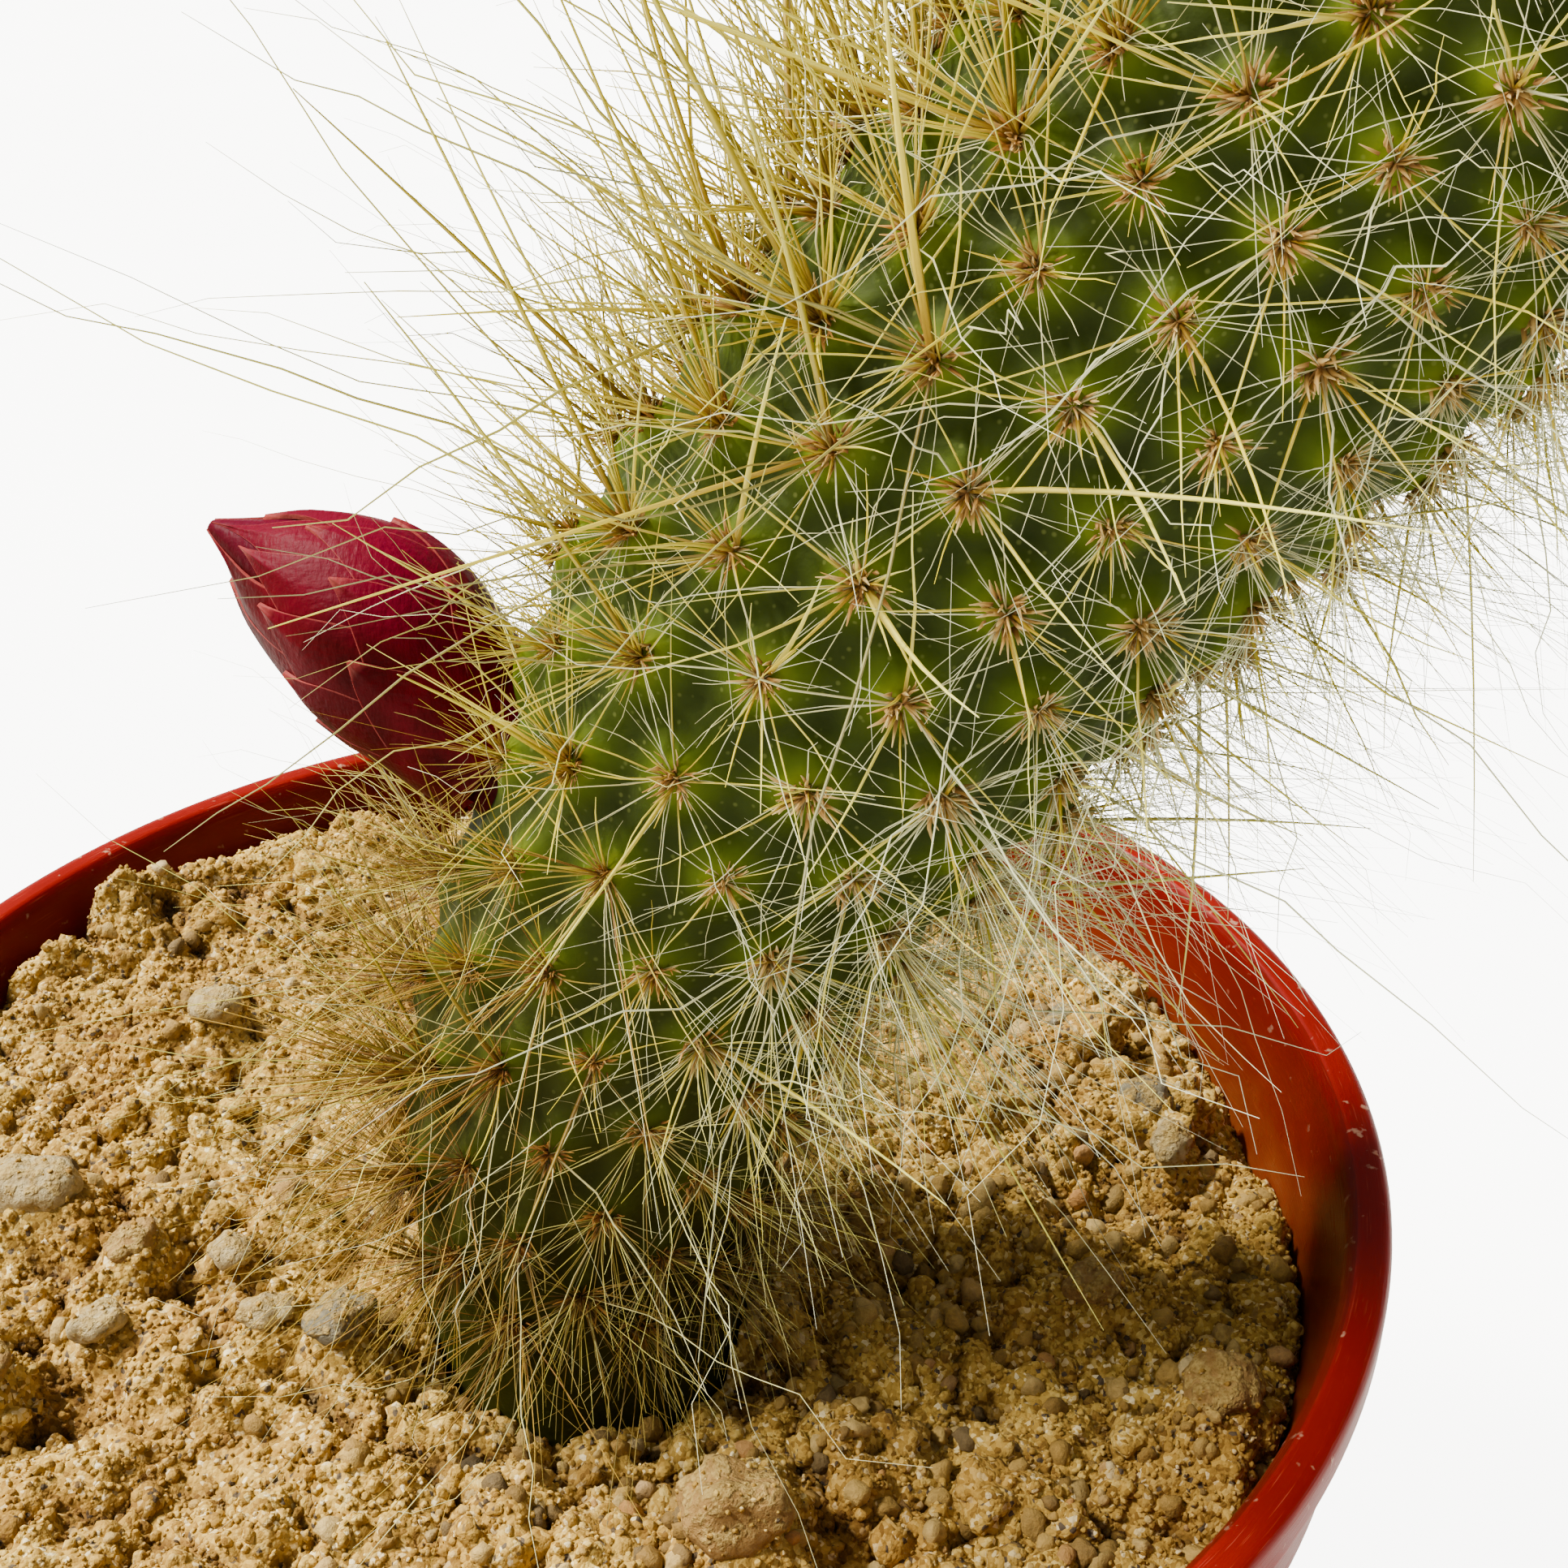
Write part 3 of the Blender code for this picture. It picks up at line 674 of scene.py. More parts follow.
WHITE = [
    (0.0, (0.36, 0.27, 0.11)), (0.12, (0.46, 0.46, 0.25)),
    (0.6, (0.66, 0.68, 0.40)), (1.0, (0.75, 0.77, 0.56)),
]
CREAM = [
    (0.0, (0.34, 0.23, 0.08)), (0.2, (0.50, 0.46, 0.17)),
    (0.7, (0.70, 0.67, 0.29)), (1.0, (0.77, 0.74, 0.45)),
]
OLIVE = [
    (0.0, (0.20, 0.13, 0.03)), (0.2, (0.22, 0.19, 0.05)),
    (0.6, (0.20, 0.19, 0.08)), (1.0, (0.24, 0.24, 0.13)),
]
STRAW = [
    (0.0, (0.20, 0.10, 0.012)), (0.15, (0.44, 0.36, 0.04)),
    (0.6, (0.66, 0.60, 0.09)), (1.0, (0.74, 0.71, 0.20)),
]
GOLD = [
    (0.0, (0.14, 0.055, 0.005)), (0.14, (0.34, 0.20, 0.008)),
    (0.4, (0.58, 0.44, 0.015)), (1.0, (0.70, 0.60, 0.04)),
]
BROWN = [
    (0.0, (0.10, 0.038, 0.006)), (0.3, (0.22, 0.10, 0.008)),
    (0.6, (0.38, 0.22, 0.014)), (1.0, (0.48, 0.33, 0.03)),
]
AGED = [
    (0.0, (0.08, 0.035, 0.006)), (0.3, (0.16, 0.09, 0.009)),
    (0.7, (0.24, 0.16, 0.016)), (1.0, (0.32, 0.24, 0.035)),
]
TAN_WOOL = [(0.0, (0.22, 0.10, 0.02)), (0.5, (0.50, 0.31, 0.08)), (1.0, (0.72, 0.56, 0.24))]
BROWN_WOOL = [(0.0, (0.15, 0.05, 0.008)), (0.5, (0.38, 0.16, 0.022)), (1.0, (0.50, 0.26, 0.045))]


def make_strands(bud_base):
    tree = strand_group()
    areoles, s, lit_side = areole_points(bud_base)
    groups = {
        "foot": s < 31,
        "low": s < 42,
        "upper": s >= 42,
        "low_front": (lit_side > -0.3) & (s < 42),
        "low_lit": (lit_side > 0.15) & (s < 54),
        "lit": (lit_side > 0.62) & (s < 115),
        "half_lit": (lit_side > 0.25) & (lit_side <= 0.62) & (s < 115),
        "left": (lit_side > 0.45) & (s > 36) & (s < 84),
        "shaded": (lit_side < -0.25) & (s > 50),
        "low_shaded": (lit_side < -0.1) & (s < 58),
        "some": (np.arange(len(s)) % 3 == 0) & (s > 40) & (s < 95),
    }
    carriers = {name: subset(areoles, name, keep) for name, keep in groups.items()} | {"all": areoles}
    pale = strand_material("pale_spine", 0.4, WHITE, CREAM, AGED)
    brown = strand_material("brown_fuzz", 0.5, OLIVE, AGED)
    ochre = strand_material("ochre_fuzz", 0.5, STRAW, BROWN)
    dull = strand_material("dull_spine", 0.5, STRAW, OLIVE, AGED)
    fuzz = strand_material("golden_fuzz", 0.5, CREAM, STRAW, AGED)
    white = strand_material("white_hair", 0.4, WHITE, CREAM)
    olive = strand_material("olive_hair", 0.45, OLIVE, STRAW)
    golden = strand_material("golden_spine", 0.38, STRAW, GOLD, AGED)
    dark = strand_material("dark_spine", 0.4, GOLD, BROWN)
    wool = strand_material("areole_wool", 0.9, TAN_WOOL, BROWN_WOOL)
    tufts = [node for node in frame["nodes"] if node.startswith("spine_tuft")]
    # name, group, seed, material, strands in each areole, points on each, least and most lean in radians,
    # least and most length and thickness in mm, and what else differs
    kinds = [
        ("radial_spines", "upper", 11, pale, 17, 4, 0.85, 1.5, 2.5, 8, 0.078, dict(Bend=0.2, Kink=0.035)),
        ("low_spines", "low", 17, dull, 16, 4, 0.85, 1.5, 2.5, 7, 0.075, dict(Bend=0.2, Kink=0.03)),
        ("central_spines", "upper", 23, golden, 3, 5, 0.25, 1.25, 6, 14, 0.155, dict(Bend=0.14, Kink=0.02)),
        ("low_central_spines", "low", 83, dull, 8, 5, 0.2, 1.4, 4, 14, 0.095,
         dict(Bend=0.2, Kink=0.03, Droop=0.15)),
        ("dark_spines", "upper", 37, dark, 2, 4, 0.1, 1.0, 2, 7, 0.17, dict(Bend=0.08)),
        ("lit_spines", "lit", 29, golden, 22, 5, 0.1, 1.3, 4, 17, 0.20,
         dict(Bias=(0.0, 0.0, 0.6), Bend=0.10)),
        ("half_lit_spines", "half_lit", 79, golden, 5, 5, 0.2, 1.4, 4, 15, 0.17,
         dict(Bias=(0.0, 0.0, 0.4), Bend=0.14)),
        ("tall_spines", "left", 71, golden, 1, 6, 0.1, 0.7, 14, 32, 0.36,
         dict(Bias=(0.15, 0.0, 1.0), Bend=0.07)),
        ("long_spines", "some", 31, golden, 1, 6, 0.15, 0.9, 14, 26, 0.27, dict(Bend=0.10)),
        ("long_hairs", "upper", 41, white, 2, 8, 0.3, 1.35, 9, 25, 0.11,
         dict(Bend=0.22, Kink=0.06, Droop=0.05)),
        ("reaching_hairs", "left", 47, olive, 4, 8, 0.1, 1.3, 14, 38, 0.15,
         dict(Bias=(-0.25, -0.05, 0.12), Bend=0.2, Kink=0.04)),
        ("shaded_hairs", "shaded", 43, white, 19, 4, 0.1, 1.3, 7, 19, 0.065,
         dict(Bias=(0.25, 0.0, 0.1), Bend=0.12, Kink=0.015)),
        ("side_fuzz", "low_shaded", 59, fuzz, 22, 4, 0.1, 1.3, 4, 12, 0.075, dict(Bend=0.2, Kink=0.02)),
        ("base_fuzz", "foot", 61, brown, 24, 5, 0.2, 1.6, 5, 16, 0.11,
         dict(Bend=0.25, Kink=0.02, Droop=0.45)),
        ("lit_fuzz", "low_lit", 73, ochre, 18, 5, 0.1, 1.4, 8, 25, 0.13,
         dict(Bias=(-0.15, 0.0, 0.1), Bend=0.16, Droop=0.1)),
        ("base_hairs", "low_front", 53, white, 2, 9, 0.6, 1.5, 12, 38, 0.115,
         dict(Bias=(-0.25, -0.3, -0.1), Bend=0.22, Kink=0.045, Droop=0.4)),
        ("areole_wool", "all", 67, wool, 34, 3, 0.0, 1.3, 0.7, 1.5, 0.24, dict(Spread=0.95 * MM, Bend=0.3)),
    ]
    for name, group, seed, material, count, points, low, high, least, most, thick, others in kinds:
        grow(
            name, carriers[group], tree, "spine", tufts if name == "central_spines" else [], Seed=seed,
            Material=material, Count=count, Points=points, Least_Lean=low, Most_Lean=high,
            Least_Length=least * MM, Most_Length=most * MM, Thickness=thick * MM, **others,
        )
    for carrier in carriers.values():
        bpy.data.objects.remove(carrier)


# ---------------------------------------------------------------- bud


def make_bud():
    """The closed flower inside, and pointed scales that overlap in spirals round it."""
    t = np.linspace(0.0, 0.985, 60)
    turns = np.linspace(0, 2 * math.pi, 49)[:-1]
    sunk = 0.35 * MM * (1 - smoothstep(0.7, 0.98, t))[:, None]
    points = bud_points(t[:, None] + 0 * turns, turns + 0 * t[:, None], -sunk)
    ends = [BUD.at[0], BUD.read(BUD.at, np.array([0.99 * BUD.length]))[0]]
    verts = np.concatenate([points.reshape(-1, 3), ends])
    core = mesh_object("closed_flower", verts, ring_faces(len(t), len(turns)))
    finish_mesh(core, bud_material("closed_flower", 0.75))
    place_piece(core, "bud_core", "bud_core")
    petal = bud_material("bud_scale", 1.0)
    half_width = math.pi / SCALES_PER_LAYER * 1.3
    number = 0
    for layer, (start, end, turn) in enumerate(BUD_LAYERS):
        layers_inside = len(BUD_LAYERS) - layer
        for k in range(SCALES_PER_LAYER):
            number += 1
            middle = 2 * math.pi * (k + turn) / SCALES_PER_LAYER
            scale = scale_object(f"scale_{number:02d}", start, end, middle, half_width, layers_inside)
            finish_mesh(scale, petal, 60)
            node = f"bud_scale_{number:02d}"
            place_piece(scale, "bud_scale", *([node] if node in frame["nodes"] else []))


def bud_points(t, turn, lift):
    place, _, side, across = BUD.frame(t * BUD.length)
    radius = read_profile(BUD_PROFILE, t) + lift
    outward = side * np.cos(turn)[..., None] + across * np.sin(turn)[..., None]
    return place + outward * np.maximum(radius, 0.1 * MM)[..., None]


def scale_object(name, start, end, middle, half_width, layers_inside):
    """A thin pointed scale, with its tip over the next one in and its foot under the one outside it."""
    rows, columns = 24, 12
    v = np.linspace(0, 1, rows)[:, None]
    u = np.linspace(-1, 1, columns)[None, :]
    width = half_width * (1 - v**1.7) ** 1.1 + 0.015
    t = start + (end - start) * v - 0.02 * u**2 * (1 - v)
    lift = layers_inside * 0.09 * MM - 0.07 * MM * u**2 + 0.05 * MM * v**3
    lift = lift * (1 - 0.8 * smoothstep(0.8, 1.0, t))
    ridge = 0.1 * MM * np.exp(-((u / 0.18) ** 2)) * v
    outer = bud_points(t + 0 * u, middle + u * width, lift + ridge)
    inner = bud_points(t + 0 * u, middle + u * width * 0.98, lift - 0.28 * MM + 0 * u)
    size = rows * columns
    number = np.arange(size).reshape(rows, columns)
    faces = []
    for a in number[:-1, :-1].ravel().tolist():
        faces.append((a, a + 1, a + columns + 1, a + columns))
        faces.append((size + a, size + a + columns, size + a + columns + 1, size + a + 1))
    edge = np.concatenate([number[0], number[1:, -1], number[-1, -2::-1], number[-2:0:-1, 0]]).tolist()
    for a, b in zip(edge, edge[1:] + edge[:1]):
        faces.append((a, size + a, size + b, b))
    piece = mesh_object(name, np.concatenate([outer.reshape(-1, 3), inner.reshape(-1, 3)]), faces)
    run = np.repeat(v, columns, axis=1).ravel()
    rim = (np.abs(u) ** 2 * smoothstep(0.15, 0.6, v)).ravel()
    store(piece, "run", np.concatenate([run, run]))
    store(piece, "edge", np.concatenate([rim, rim]))
    return piece


def bud_material(name, value):
    """Glossy crimson with painted light making its upward-facing top magenta, fine lengthwise veins and pale
    tips on the scales.
    """
    made, tree, shader = new_material(
        name, 0.48, Subsurface_Weight=0.1, Subsurface_Scale=0.001, Subsurface_Radius=(1.0, 0.1, 0.1),
        Specular_IOR_Level=0.04,
    )
    coords = object_coords(tree)
    run = shade_attribute(tree, "run")
    base = ramp(
        noise_of(coords, 320, 3),
        (0.3, (0.03 * value, 0.0, 0.0006)),
        (0.5, (0.052 * value, 0.0, 0.0016)),
        (0.75, (0.08 * value, 0.0, 0.004)),
    )
    # painted light: surfaces that face up are painted a brighter magenta
    painted_top_light = ramp(normal_up(tree), (0.35, 0.0), (0.95, 0.8))
    colour = blend(painted_top_light, base, (0.115 * value, 0.0, 0.013))
    tip = ramp(maths("MAXIMUM", run, shade_attribute(tree, "edge")), (0.9, 0.0), (1.0, 0.6))
    feed(shader, "Base Color", blend(tip, colour, (0.30, 0.06, 0.05)))
    veins = noise_of(object_coords(tree, (900, 2600, 2600)), 1.0, 2)
    wrinkles = noise_of(object_coords(tree, (3600, 1200, 1600)), 1.0, 3)
    bump(shader, veins + wrinkles, 0.00012, 0.55)
    return made


# ---------------------------------------------------------------- soil


def soil_base(x, y):
    """The soil's mean height with its broad lumps, at one place."""
    lump = noise.noise(Vector((x, y, 0)) / (11 * MM) + Vector((3, 7, 1)))
    heap_x, heap_y, height, radius = SOIL_HEAP
    heap = height * math.exp(-((x - heap_x) ** 2 + (y - heap_y) ** 2) / radius**2)
    return SOIL_LEVEL + SOIL_SLOPE[0] * x + SOIL_SLOPE[1] * y + heap + 0.9 * MM * lump


def clod(spot, size, seed):
    """A field of rounded lumps with narrow gaps between them, from 0 to 1."""
    (near, second, _, _), _ = noise.voronoi(spot / size + Vector((seed, 2 * seed, 0.5 * seed)))
    return math.sqrt(min((second - near) * 1.8, 1))


def soil_detail(x, y):
    """Clods, crumbs and pits on top of the broad lumps, at one place."""
    spot = Vector((x, y, 0))
    spot += 1.2 * MM * Vector([noise.noise(spot / (2.4 * MM) + Vector(shift)) for shift in WANDER_SHIFTS])
    broken = noise.noise(spot / (8 * MM) + Vector((9, 2, 5)))
    height = 1.4 * broken
    height += (2.4 + 1.8 * broken) * clod(spot, 7.5 * MM, 3)
    height += (0.7 + 0.8 * broken) * clod(spot, 3.2 * MM, 8)
    height += 0.2 * clod(spot, 1.3 * MM, 5) + 0.35 * noise.noise(spot / (1.3 * MM)) - 2.6
    for pit_x, pit_y, radius, depth in PITS:
        far = math.hypot(x / MM - pit_x, y / MM - pit_y) / radius
        height -= depth * math.exp(-(far**2) * 1.6)
    return height * MM


def disc_grid(cells, reach):
    """A square grid of places, bent so that its edge is a circle."""
    a, b = np.meshgrid(np.linspace(-1, 1, cells + 1), np.linspace(-1, 1, cells + 1))
    wide = np.abs(a) > np.abs(b)
    longer = np.where(wide, a, b)
    other = np.where(wide, b, a)
    with np.errstate(invalid="ignore", divide="ignore"):
        turn = np.where(longer == 0, 0, other / longer) * math.pi / 4
    far = longer * reach
    x = np.where(wide, far * np.cos(turn), far * np.sin(turn))
    y = np.where(wide, far * np.sin(turn), far * np.cos(turn))
    return x, y


def soil_top(x, y, reach):
    """The height at each place, how open it is (0 under the stem), and how much painted shade it takes: more
    the deeper it lies in a gap, and more in the dip in front of the stem.
    """
    z = np.empty_like(x)
    for place in np.ndindex(x.shape):
        z[place] = soil_base(x[place], y[place]) + soil_detail(x[place], y[place])
    for low, high in [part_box(name) for name in frame["nodes"] if name.startswith("pebble")]:
        middle = (low + high) / 2
        size = max(high.x - low.x, high.y - low.y) / 2
        close = np.exp(-((np.hypot(x - middle.x, y - middle.y) / (size * 1.25)) ** 4))
        uneven = 0.35 * (z - SOIL_LEVEL - SOIL_SLOPE[0] * x - SOIL_SLOPE[1] * y)
        z = z * (1 - close) + (low.z + 0.42 * (high.z - low.z) + uneven) * close
    stem_x, stem_y, stem_foot = STEM.at[0]
    from_stem = np.hypot(x - stem_x, y - stem_y)
    neck = float(stem_radius(np.array(NECK_HEIGHT)))
    front = smoothstep(0.2, 0.9, (stem_y - y) / np.maximum(from_stem, MM))
    gap = np.exp(-(((from_stem - neck - 0.8 * MM) / (1.6 * MM)) ** 2))
    z += MM * gap * (0.8 - 3.2 * front)
    # a dip in front of the stem's foot, which also gets painted shadow in the soil's colour
    shade = front * np.exp(-(((from_stem - neck - 2 * MM) / (4 * MM)) ** 2))
    z -= 1.6 * MM * shade
    well = smoothstep(neck + 0.25 * MM, neck - 0.5 * MM, from_stem)
    z = z * (1 - well) + (stem_foot - 0.6 * MM) * well
    edge = smoothstep(reach - 1.2 * MM, reach, np.hypot(x, y))
    z -= edge * 0.8 * MM
    mean = z.copy()
    for _ in range(16):
        edged = np.pad(mean, 1, mode="edge")
        mean = (edged[:-2, 1:-1] + edged[2:, 1:-1] + edged[1:-1, :-2] + edged[1:-1, 2:] + mean) / 5
    return z, 1 - well, np.clip((mean - z) / MM + 0.4 * shade, 0, 1)


def wall_radius(height):
    """The soil's side, which follows the pot's inner wall."""
    return INNER_FOOT + WALL_SLOPE * (height - FLOOR) - 0.35 * MM


def make_soil():
    """A plug that fills the pot: a fine top, and sides and a floor that only show through the drain holes."""
    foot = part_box("soil")[0].z
    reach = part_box("soil")[1].x
    x, y = disc_grid(SOIL_CELLS, reach)
    z, open_soil, gap_shade = soil_top(x, y, reach)
    verts = np.stack([x, y, z], axis=-1).reshape(-1, 3)
    total = len(verts)
    number = np.arange(total).reshape(x.shape)
    quads = np.stack([number[:-1, :-1], number[:-1, 1:], number[1:, 1:], number[1:, :-1]], axis=-1)
    faces = quads.reshape(-1, 4).tolist()
    rim = np.concatenate([number[0, :-1], number[:-1, -1], number[-1, :0:-1], number[:0:-1, 0]])
    outward = verts[rim][:, :2] / np.linalg.norm(verts[rim][:, :2], axis=1, keepdims=True)
    after = np.roll(np.arange(len(rim)), -1)
    previous = rim
    for height, shrink in ((60 * MM, 0), (30 * MM, 0), (foot + 2 * MM, 0), (foot, 2 * MM)):
        ring = outward * (wall_radius(height) - shrink)
        numbers = np.arange(len(verts), len(verts) + len(rim))
        verts = np.concatenate([verts, np.column_stack([ring, np.full(len(rim), height)])])
        faces += np.stack([previous, previous[after], numbers[after], numbers], axis=1).tolist()
        previous = numbers
    faces += [(int(p), int(q), len(verts)) for p, q in zip(previous, np.roll(previous, -1))]
    verts = np.concatenate([verts, [[0, 0, foot]]])
    soil = mesh_object("sandy_soil", verts, faces)
    unseen = np.zeros(len(verts) - total)
    store(soil, "open_soil", np.append(open_soil, unseen))
    store(soil, "gravelly", 0.12 + 0.88 * smoothstep(-12 * MM, 16 * MM, verts[:, 0] - 0.4 * verts[:, 1]))
    store(soil, "gap_shade", np.append(gap_shade, unseen))
    store(soil, "room", 0.15 * MM + 0.8 * np.maximum(reach - np.hypot(verts[:, 0], verts[:, 1]), 0))
    sand = sand_material("sandy_soil", 0.35)
    finish_mesh(soil, sand)
    grit = sand_material("sand_grain", 0.0)
    gravel = gravel_material()
    tree = grain_group()
    # name, grains to a square metre, least and most size in mm, steps of roundness, how far each sinks in,
    # seed, material, and 1 for those that keep to gravelly places
    kinds = [
        ("fine_grains", 8.4e5, 0.14, 0.30, 1, -0.3, 3, grit, 0.0),
        ("finest_grains", 8.4e5, 0.10, 0.22, 1, -0.5, 13, grit, 0.0),
        ("gravel", 3.4e5, 0.22, 1.0, 2, -0.1, 44, gravel, 1.0),
        ("small_grains", 8.4e5, 0.12, 0.34, 1, -0.2, 17, grit, 0.0),
        ("coarse_grains", 8.0e5, 0.2, 0.65, 1, 0.0, 5, grit, 0.0),
        ("crumbs", 7.0e4, 0.4, 1.3, 2, 0.1, 8, sand, 0.0),
        ("clods", 8.0e3, 1.0, 3.2, 4, 0.35, 21, sand, 0.0),
    ]
    for name, density, least, most, steps, sink, seed, material, pick in kinds:
        grow(
            name, soil, tree, "sandy_soil", [], Density=density, Least_Size=least * MM, Most_Size=most * MM,
            Steps=steps, Sink=sink, Pick=pick, Seed=seed, Material=material,
        )
    place_piece(soil, "sandy_soil", "soil")


def grain_group():
    """Scatters lumpy grains of random size over the open soil, at Pick 1 only where it is gravelly."""
    tree, given = new_group(
        "grains", Density=1e6, Least_Size=0.0002, Most_Size=0.0005, Steps=1, Sink=0.2, Pick=0.0, Seed=1,
        Material=None,
    )
    seed = given["Seed"]
    share = maths("MULTIPLY_ADD", read_attribute(tree, "gravelly") - 1.0, given["Pick"], 1.0)
    inputs = {"Mesh": given["Geometry"], "Density": given["Density"] * share, "Seed": seed}
    inputs["Selection"] = maths("GREATER_THAN", read_attribute(tree, "open_soil"), 0.9)
    points = add(tree, "GeometryNodeDistributePointsOnFaces", inputs, distribute_method="RANDOM")
    buried = maths("LESS_THAN", read_attribute(tree, "open_soil"), 0.97)
    cloud = add(tree, "GeometryNodeDeleteGeometry", {"Geometry": points, "Selection": buried})
    index = add(tree, "GeometryNodeInputIndex")
    ball = add(tree, "GeometryNodeMeshIcoSphere", {"Radius": 1.0, "Subdivisions": given["Steps"]})
    inputs = {1: (6.28, 6.28, 6.28), 7: index, 8: seed}
    turn = add(tree, "FunctionNodeRandomValue", inputs, data_type="FLOAT_VECTOR")
    size = chance(0.0, 1.0, seed + 1, index)
    inputs = {"Value": size**2.2, "To Min": given["Least Size"], "To Max": given["Most Size"]}
    size = maths("MINIMUM", add(tree, "ShaderNodeMapRange", inputs), read_attribute(tree, "room"))
    flat = combined(tree, X=size, Y=size * 0.85, Z=size * 0.7)
    down = combined(tree, Z=size * (given["Sink"] * -1.0))
    cloud = store_attribute(cloud, "breadth", size)
    cloud = store_attribute(cloud, "tint", chance(0.0, 1.0, seed + 2, index))
    cloud = move_points(cloud, Offset=down)
    turned = add(tree, "FunctionNodeEulerToRotation", {0: turn})
    inputs = {"Points": cloud, "Instance": ball, "Rotation": turned, "Scale": flat}
    geometry = add(tree, "GeometryNodeInstanceOnPoints", inputs)
    geometry = add(tree, "GeometryNodeRealizeInstances", {"Geometry": geometry})
    normal = add(tree, "GeometryNodeInputNormal")
    scale = maths("DIVIDE", 1.7, given["Most Size"])
    lumps = noise_of(add(tree, "GeometryNodeInputPosition"), scale, 3, 0.6)
    push = (lumps - 0.5) * 1.9 * read_attribute(tree, "breadth")
    finish_group(move_points(geometry, Offset=scaled(normal, push)), given["Material"])
    return tree


def sand_material(name, darken):
    """Dry golden sand: grains of tan, cream, orange and grey, each its own colour, with painted shade
    darkening it in gaps.
    """
    made, tree, shader = new_material(name, 0.9, Specular_IOR_Level=0.25)
    coords = object_coords(tree)
    cells = add(tree, "ShaderNodeTexVoronoi", {"Vector": coords, "Scale": 3400})
    pick = split(cells["Color"])
    grain = ramp(
        pick["X"],
        (0.0, (0.20, 0.105, 0.014)),
        (0.3, (0.37, 0.225, 0.038)),
        (0.7, (0.49, 0.32, 0.066)),
        (0.9, (0.60, 0.43, 0.12)),
        (1.0, (0.80, 0.68, 0.40)),
    )
    rare = ramp(pick["Y"], (0.97, 0.0), (0.975, 1.0))
    grain = blend(rare, grain, (0.10, 0.075, 0.05))
    damp = ramp(noise_of(coords, 110, 4), (0.35, (0.70, 0.60, 0.48)), (0.6, (1.0, 1.0, 1.0)))
    colour = blend(1.0, grain, damp, "MULTIPLY")
    # painted shade: sand deep in gaps and in front of the stem is darkened
    gap_shade = shade_attribute(tree, "gap_shade")
    deep = ramp(gap_shade, (0.05, (1.0, 1.0, 1.0)), (0.35, (0.55, 0.48, 0.40)), (0.8, (0.14, 0.11, 0.08)))
    feed(shader, "Base Color", blend(1.0, colour, deep, "MULTIPLY"))
    bump(shader, noise_of(coords, 3500, 2) - cells * (1.2 * darken), 0.00025, 0.7)
    return made


def gravel_material():
    """Small stones, each with a colour of its own, from brown and grey to orange and cream, darkened by
    painted shade where they lie in gaps.
    """
    made, tree, shader = new_material("gravel", 0.75, Specular_IOR_Level=0.3)
    coords = object_coords(tree)
    stone = ramp(
        shade_attribute(tree, "tint"),
        (0.0, (0.15, 0.10, 0.04)),
        (0.2, (0.28, 0.16, 0.03)),
        (0.5, (0.44, 0.28, 0.07)),
        (0.8, (0.50, 0.35, 0.12)),
        (0.9, (0.42, 0.20, 0.05)),
        (1.0, (0.60, 0.46, 0.22)),
    )
    fine = noise_of(coords, 2600, 4, 0.7)
    colour = blend(1.0, stone, ramp(fine, (0.3, 0.62), (0.65, 1.0)), "MULTIPLY")
    # painted shade: stones in gaps are darkened
    gap_shade = ramp(shade_attribute(tree, "gap_shade"), (0.1, 1.0), (0.9, 0.3))
    feed(shader, "Base Color", blend(1.0, colour, gap_shade, "MULTIPLY"))
    bump(shader, fine, 0.0003, 0.7)
    return made


# ---------------------------------------------------------------- pebbles

PEBBLE_FINISHES = {
    "white": ((0.26, 0.17, 0.06), (0.54, 0.44, 0.23)),
    "grey": ((0.085, 0.075, 0.05), (0.25, 0.22, 0.145)),
    "tan": ((0.19, 0.095, 0.018), (0.40, 0.24, 0.07)),
}


def make_pebbles():
    """The stones, with sand grains that cling to them."""
    finishes = {}
    tree = grain_group()
    for entry in frame["record"]["subparts"]:
        node, slot = entry["node"], entry["material_slot"]
        if not node.startswith("pebble"):
            continue
        shade = slot.removeprefix("pebble_")
        if shade not in finishes:
            finishes[shade] = stone_material(slot, *PEBBLE_FINISHES[shade])
        piece = rough_stone(node.replace("pebble", "stone"), node)
        finish_mesh(piece, finishes[shade])
        for name, value in (("open_soil", 1), ("gap_shade", 0), ("room", 1)):
            store(piece, name, np.full(len(piece.data.vertices), value))
        grow(
            node.replace("pebble", "sand_on_stone"), piece, tree, "sandy_soil", [],
            Density=1.1e6 if shade == "tan" else 4e5, Least_Size=0.08 * MM, Most_Size=0.3 * MM,
            Steps=1, Sink=0.0, Seed=30 + len(finishes), Material=bpy.data.materials["sand_grain"],
        )
        place_piece(piece, slot, node)


def rough_stone(name, node):
    """The pebble of a node, with a finer and rougher surface."""
    bm = bmesh.new()
    bm.from_mesh(frame["nodes"][node].data)
    bmesh.ops.remove_doubles(bm, verts=bm.verts, dist=0.01 * MM)
    for _ in range(2):
        bmesh.ops.subdivide_edges(bm, edges=bm.edges, cuts=1, use_grid_fill=True, smooth=0.6)
    bm.normal_update()
    low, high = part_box(node)
    size = (high - low).length / 2
    for vert in bm.verts:
        facets = noise.voronoi(vert.co / (0.7 * size))[0][0]
        rough = 0.10 * noise.noise(vert.co / (0.45 * size)) + 0.03 * noise.noise(vert.co / (0.15 * size))
        fine = 0.04 * MM * noise.noise(vert.co / (0.3 * MM))
        vert.co += vert.normal * (size * (0.24 * (0.35 - facets) + rough) + fine)
    return bmesh_object(name, bm)


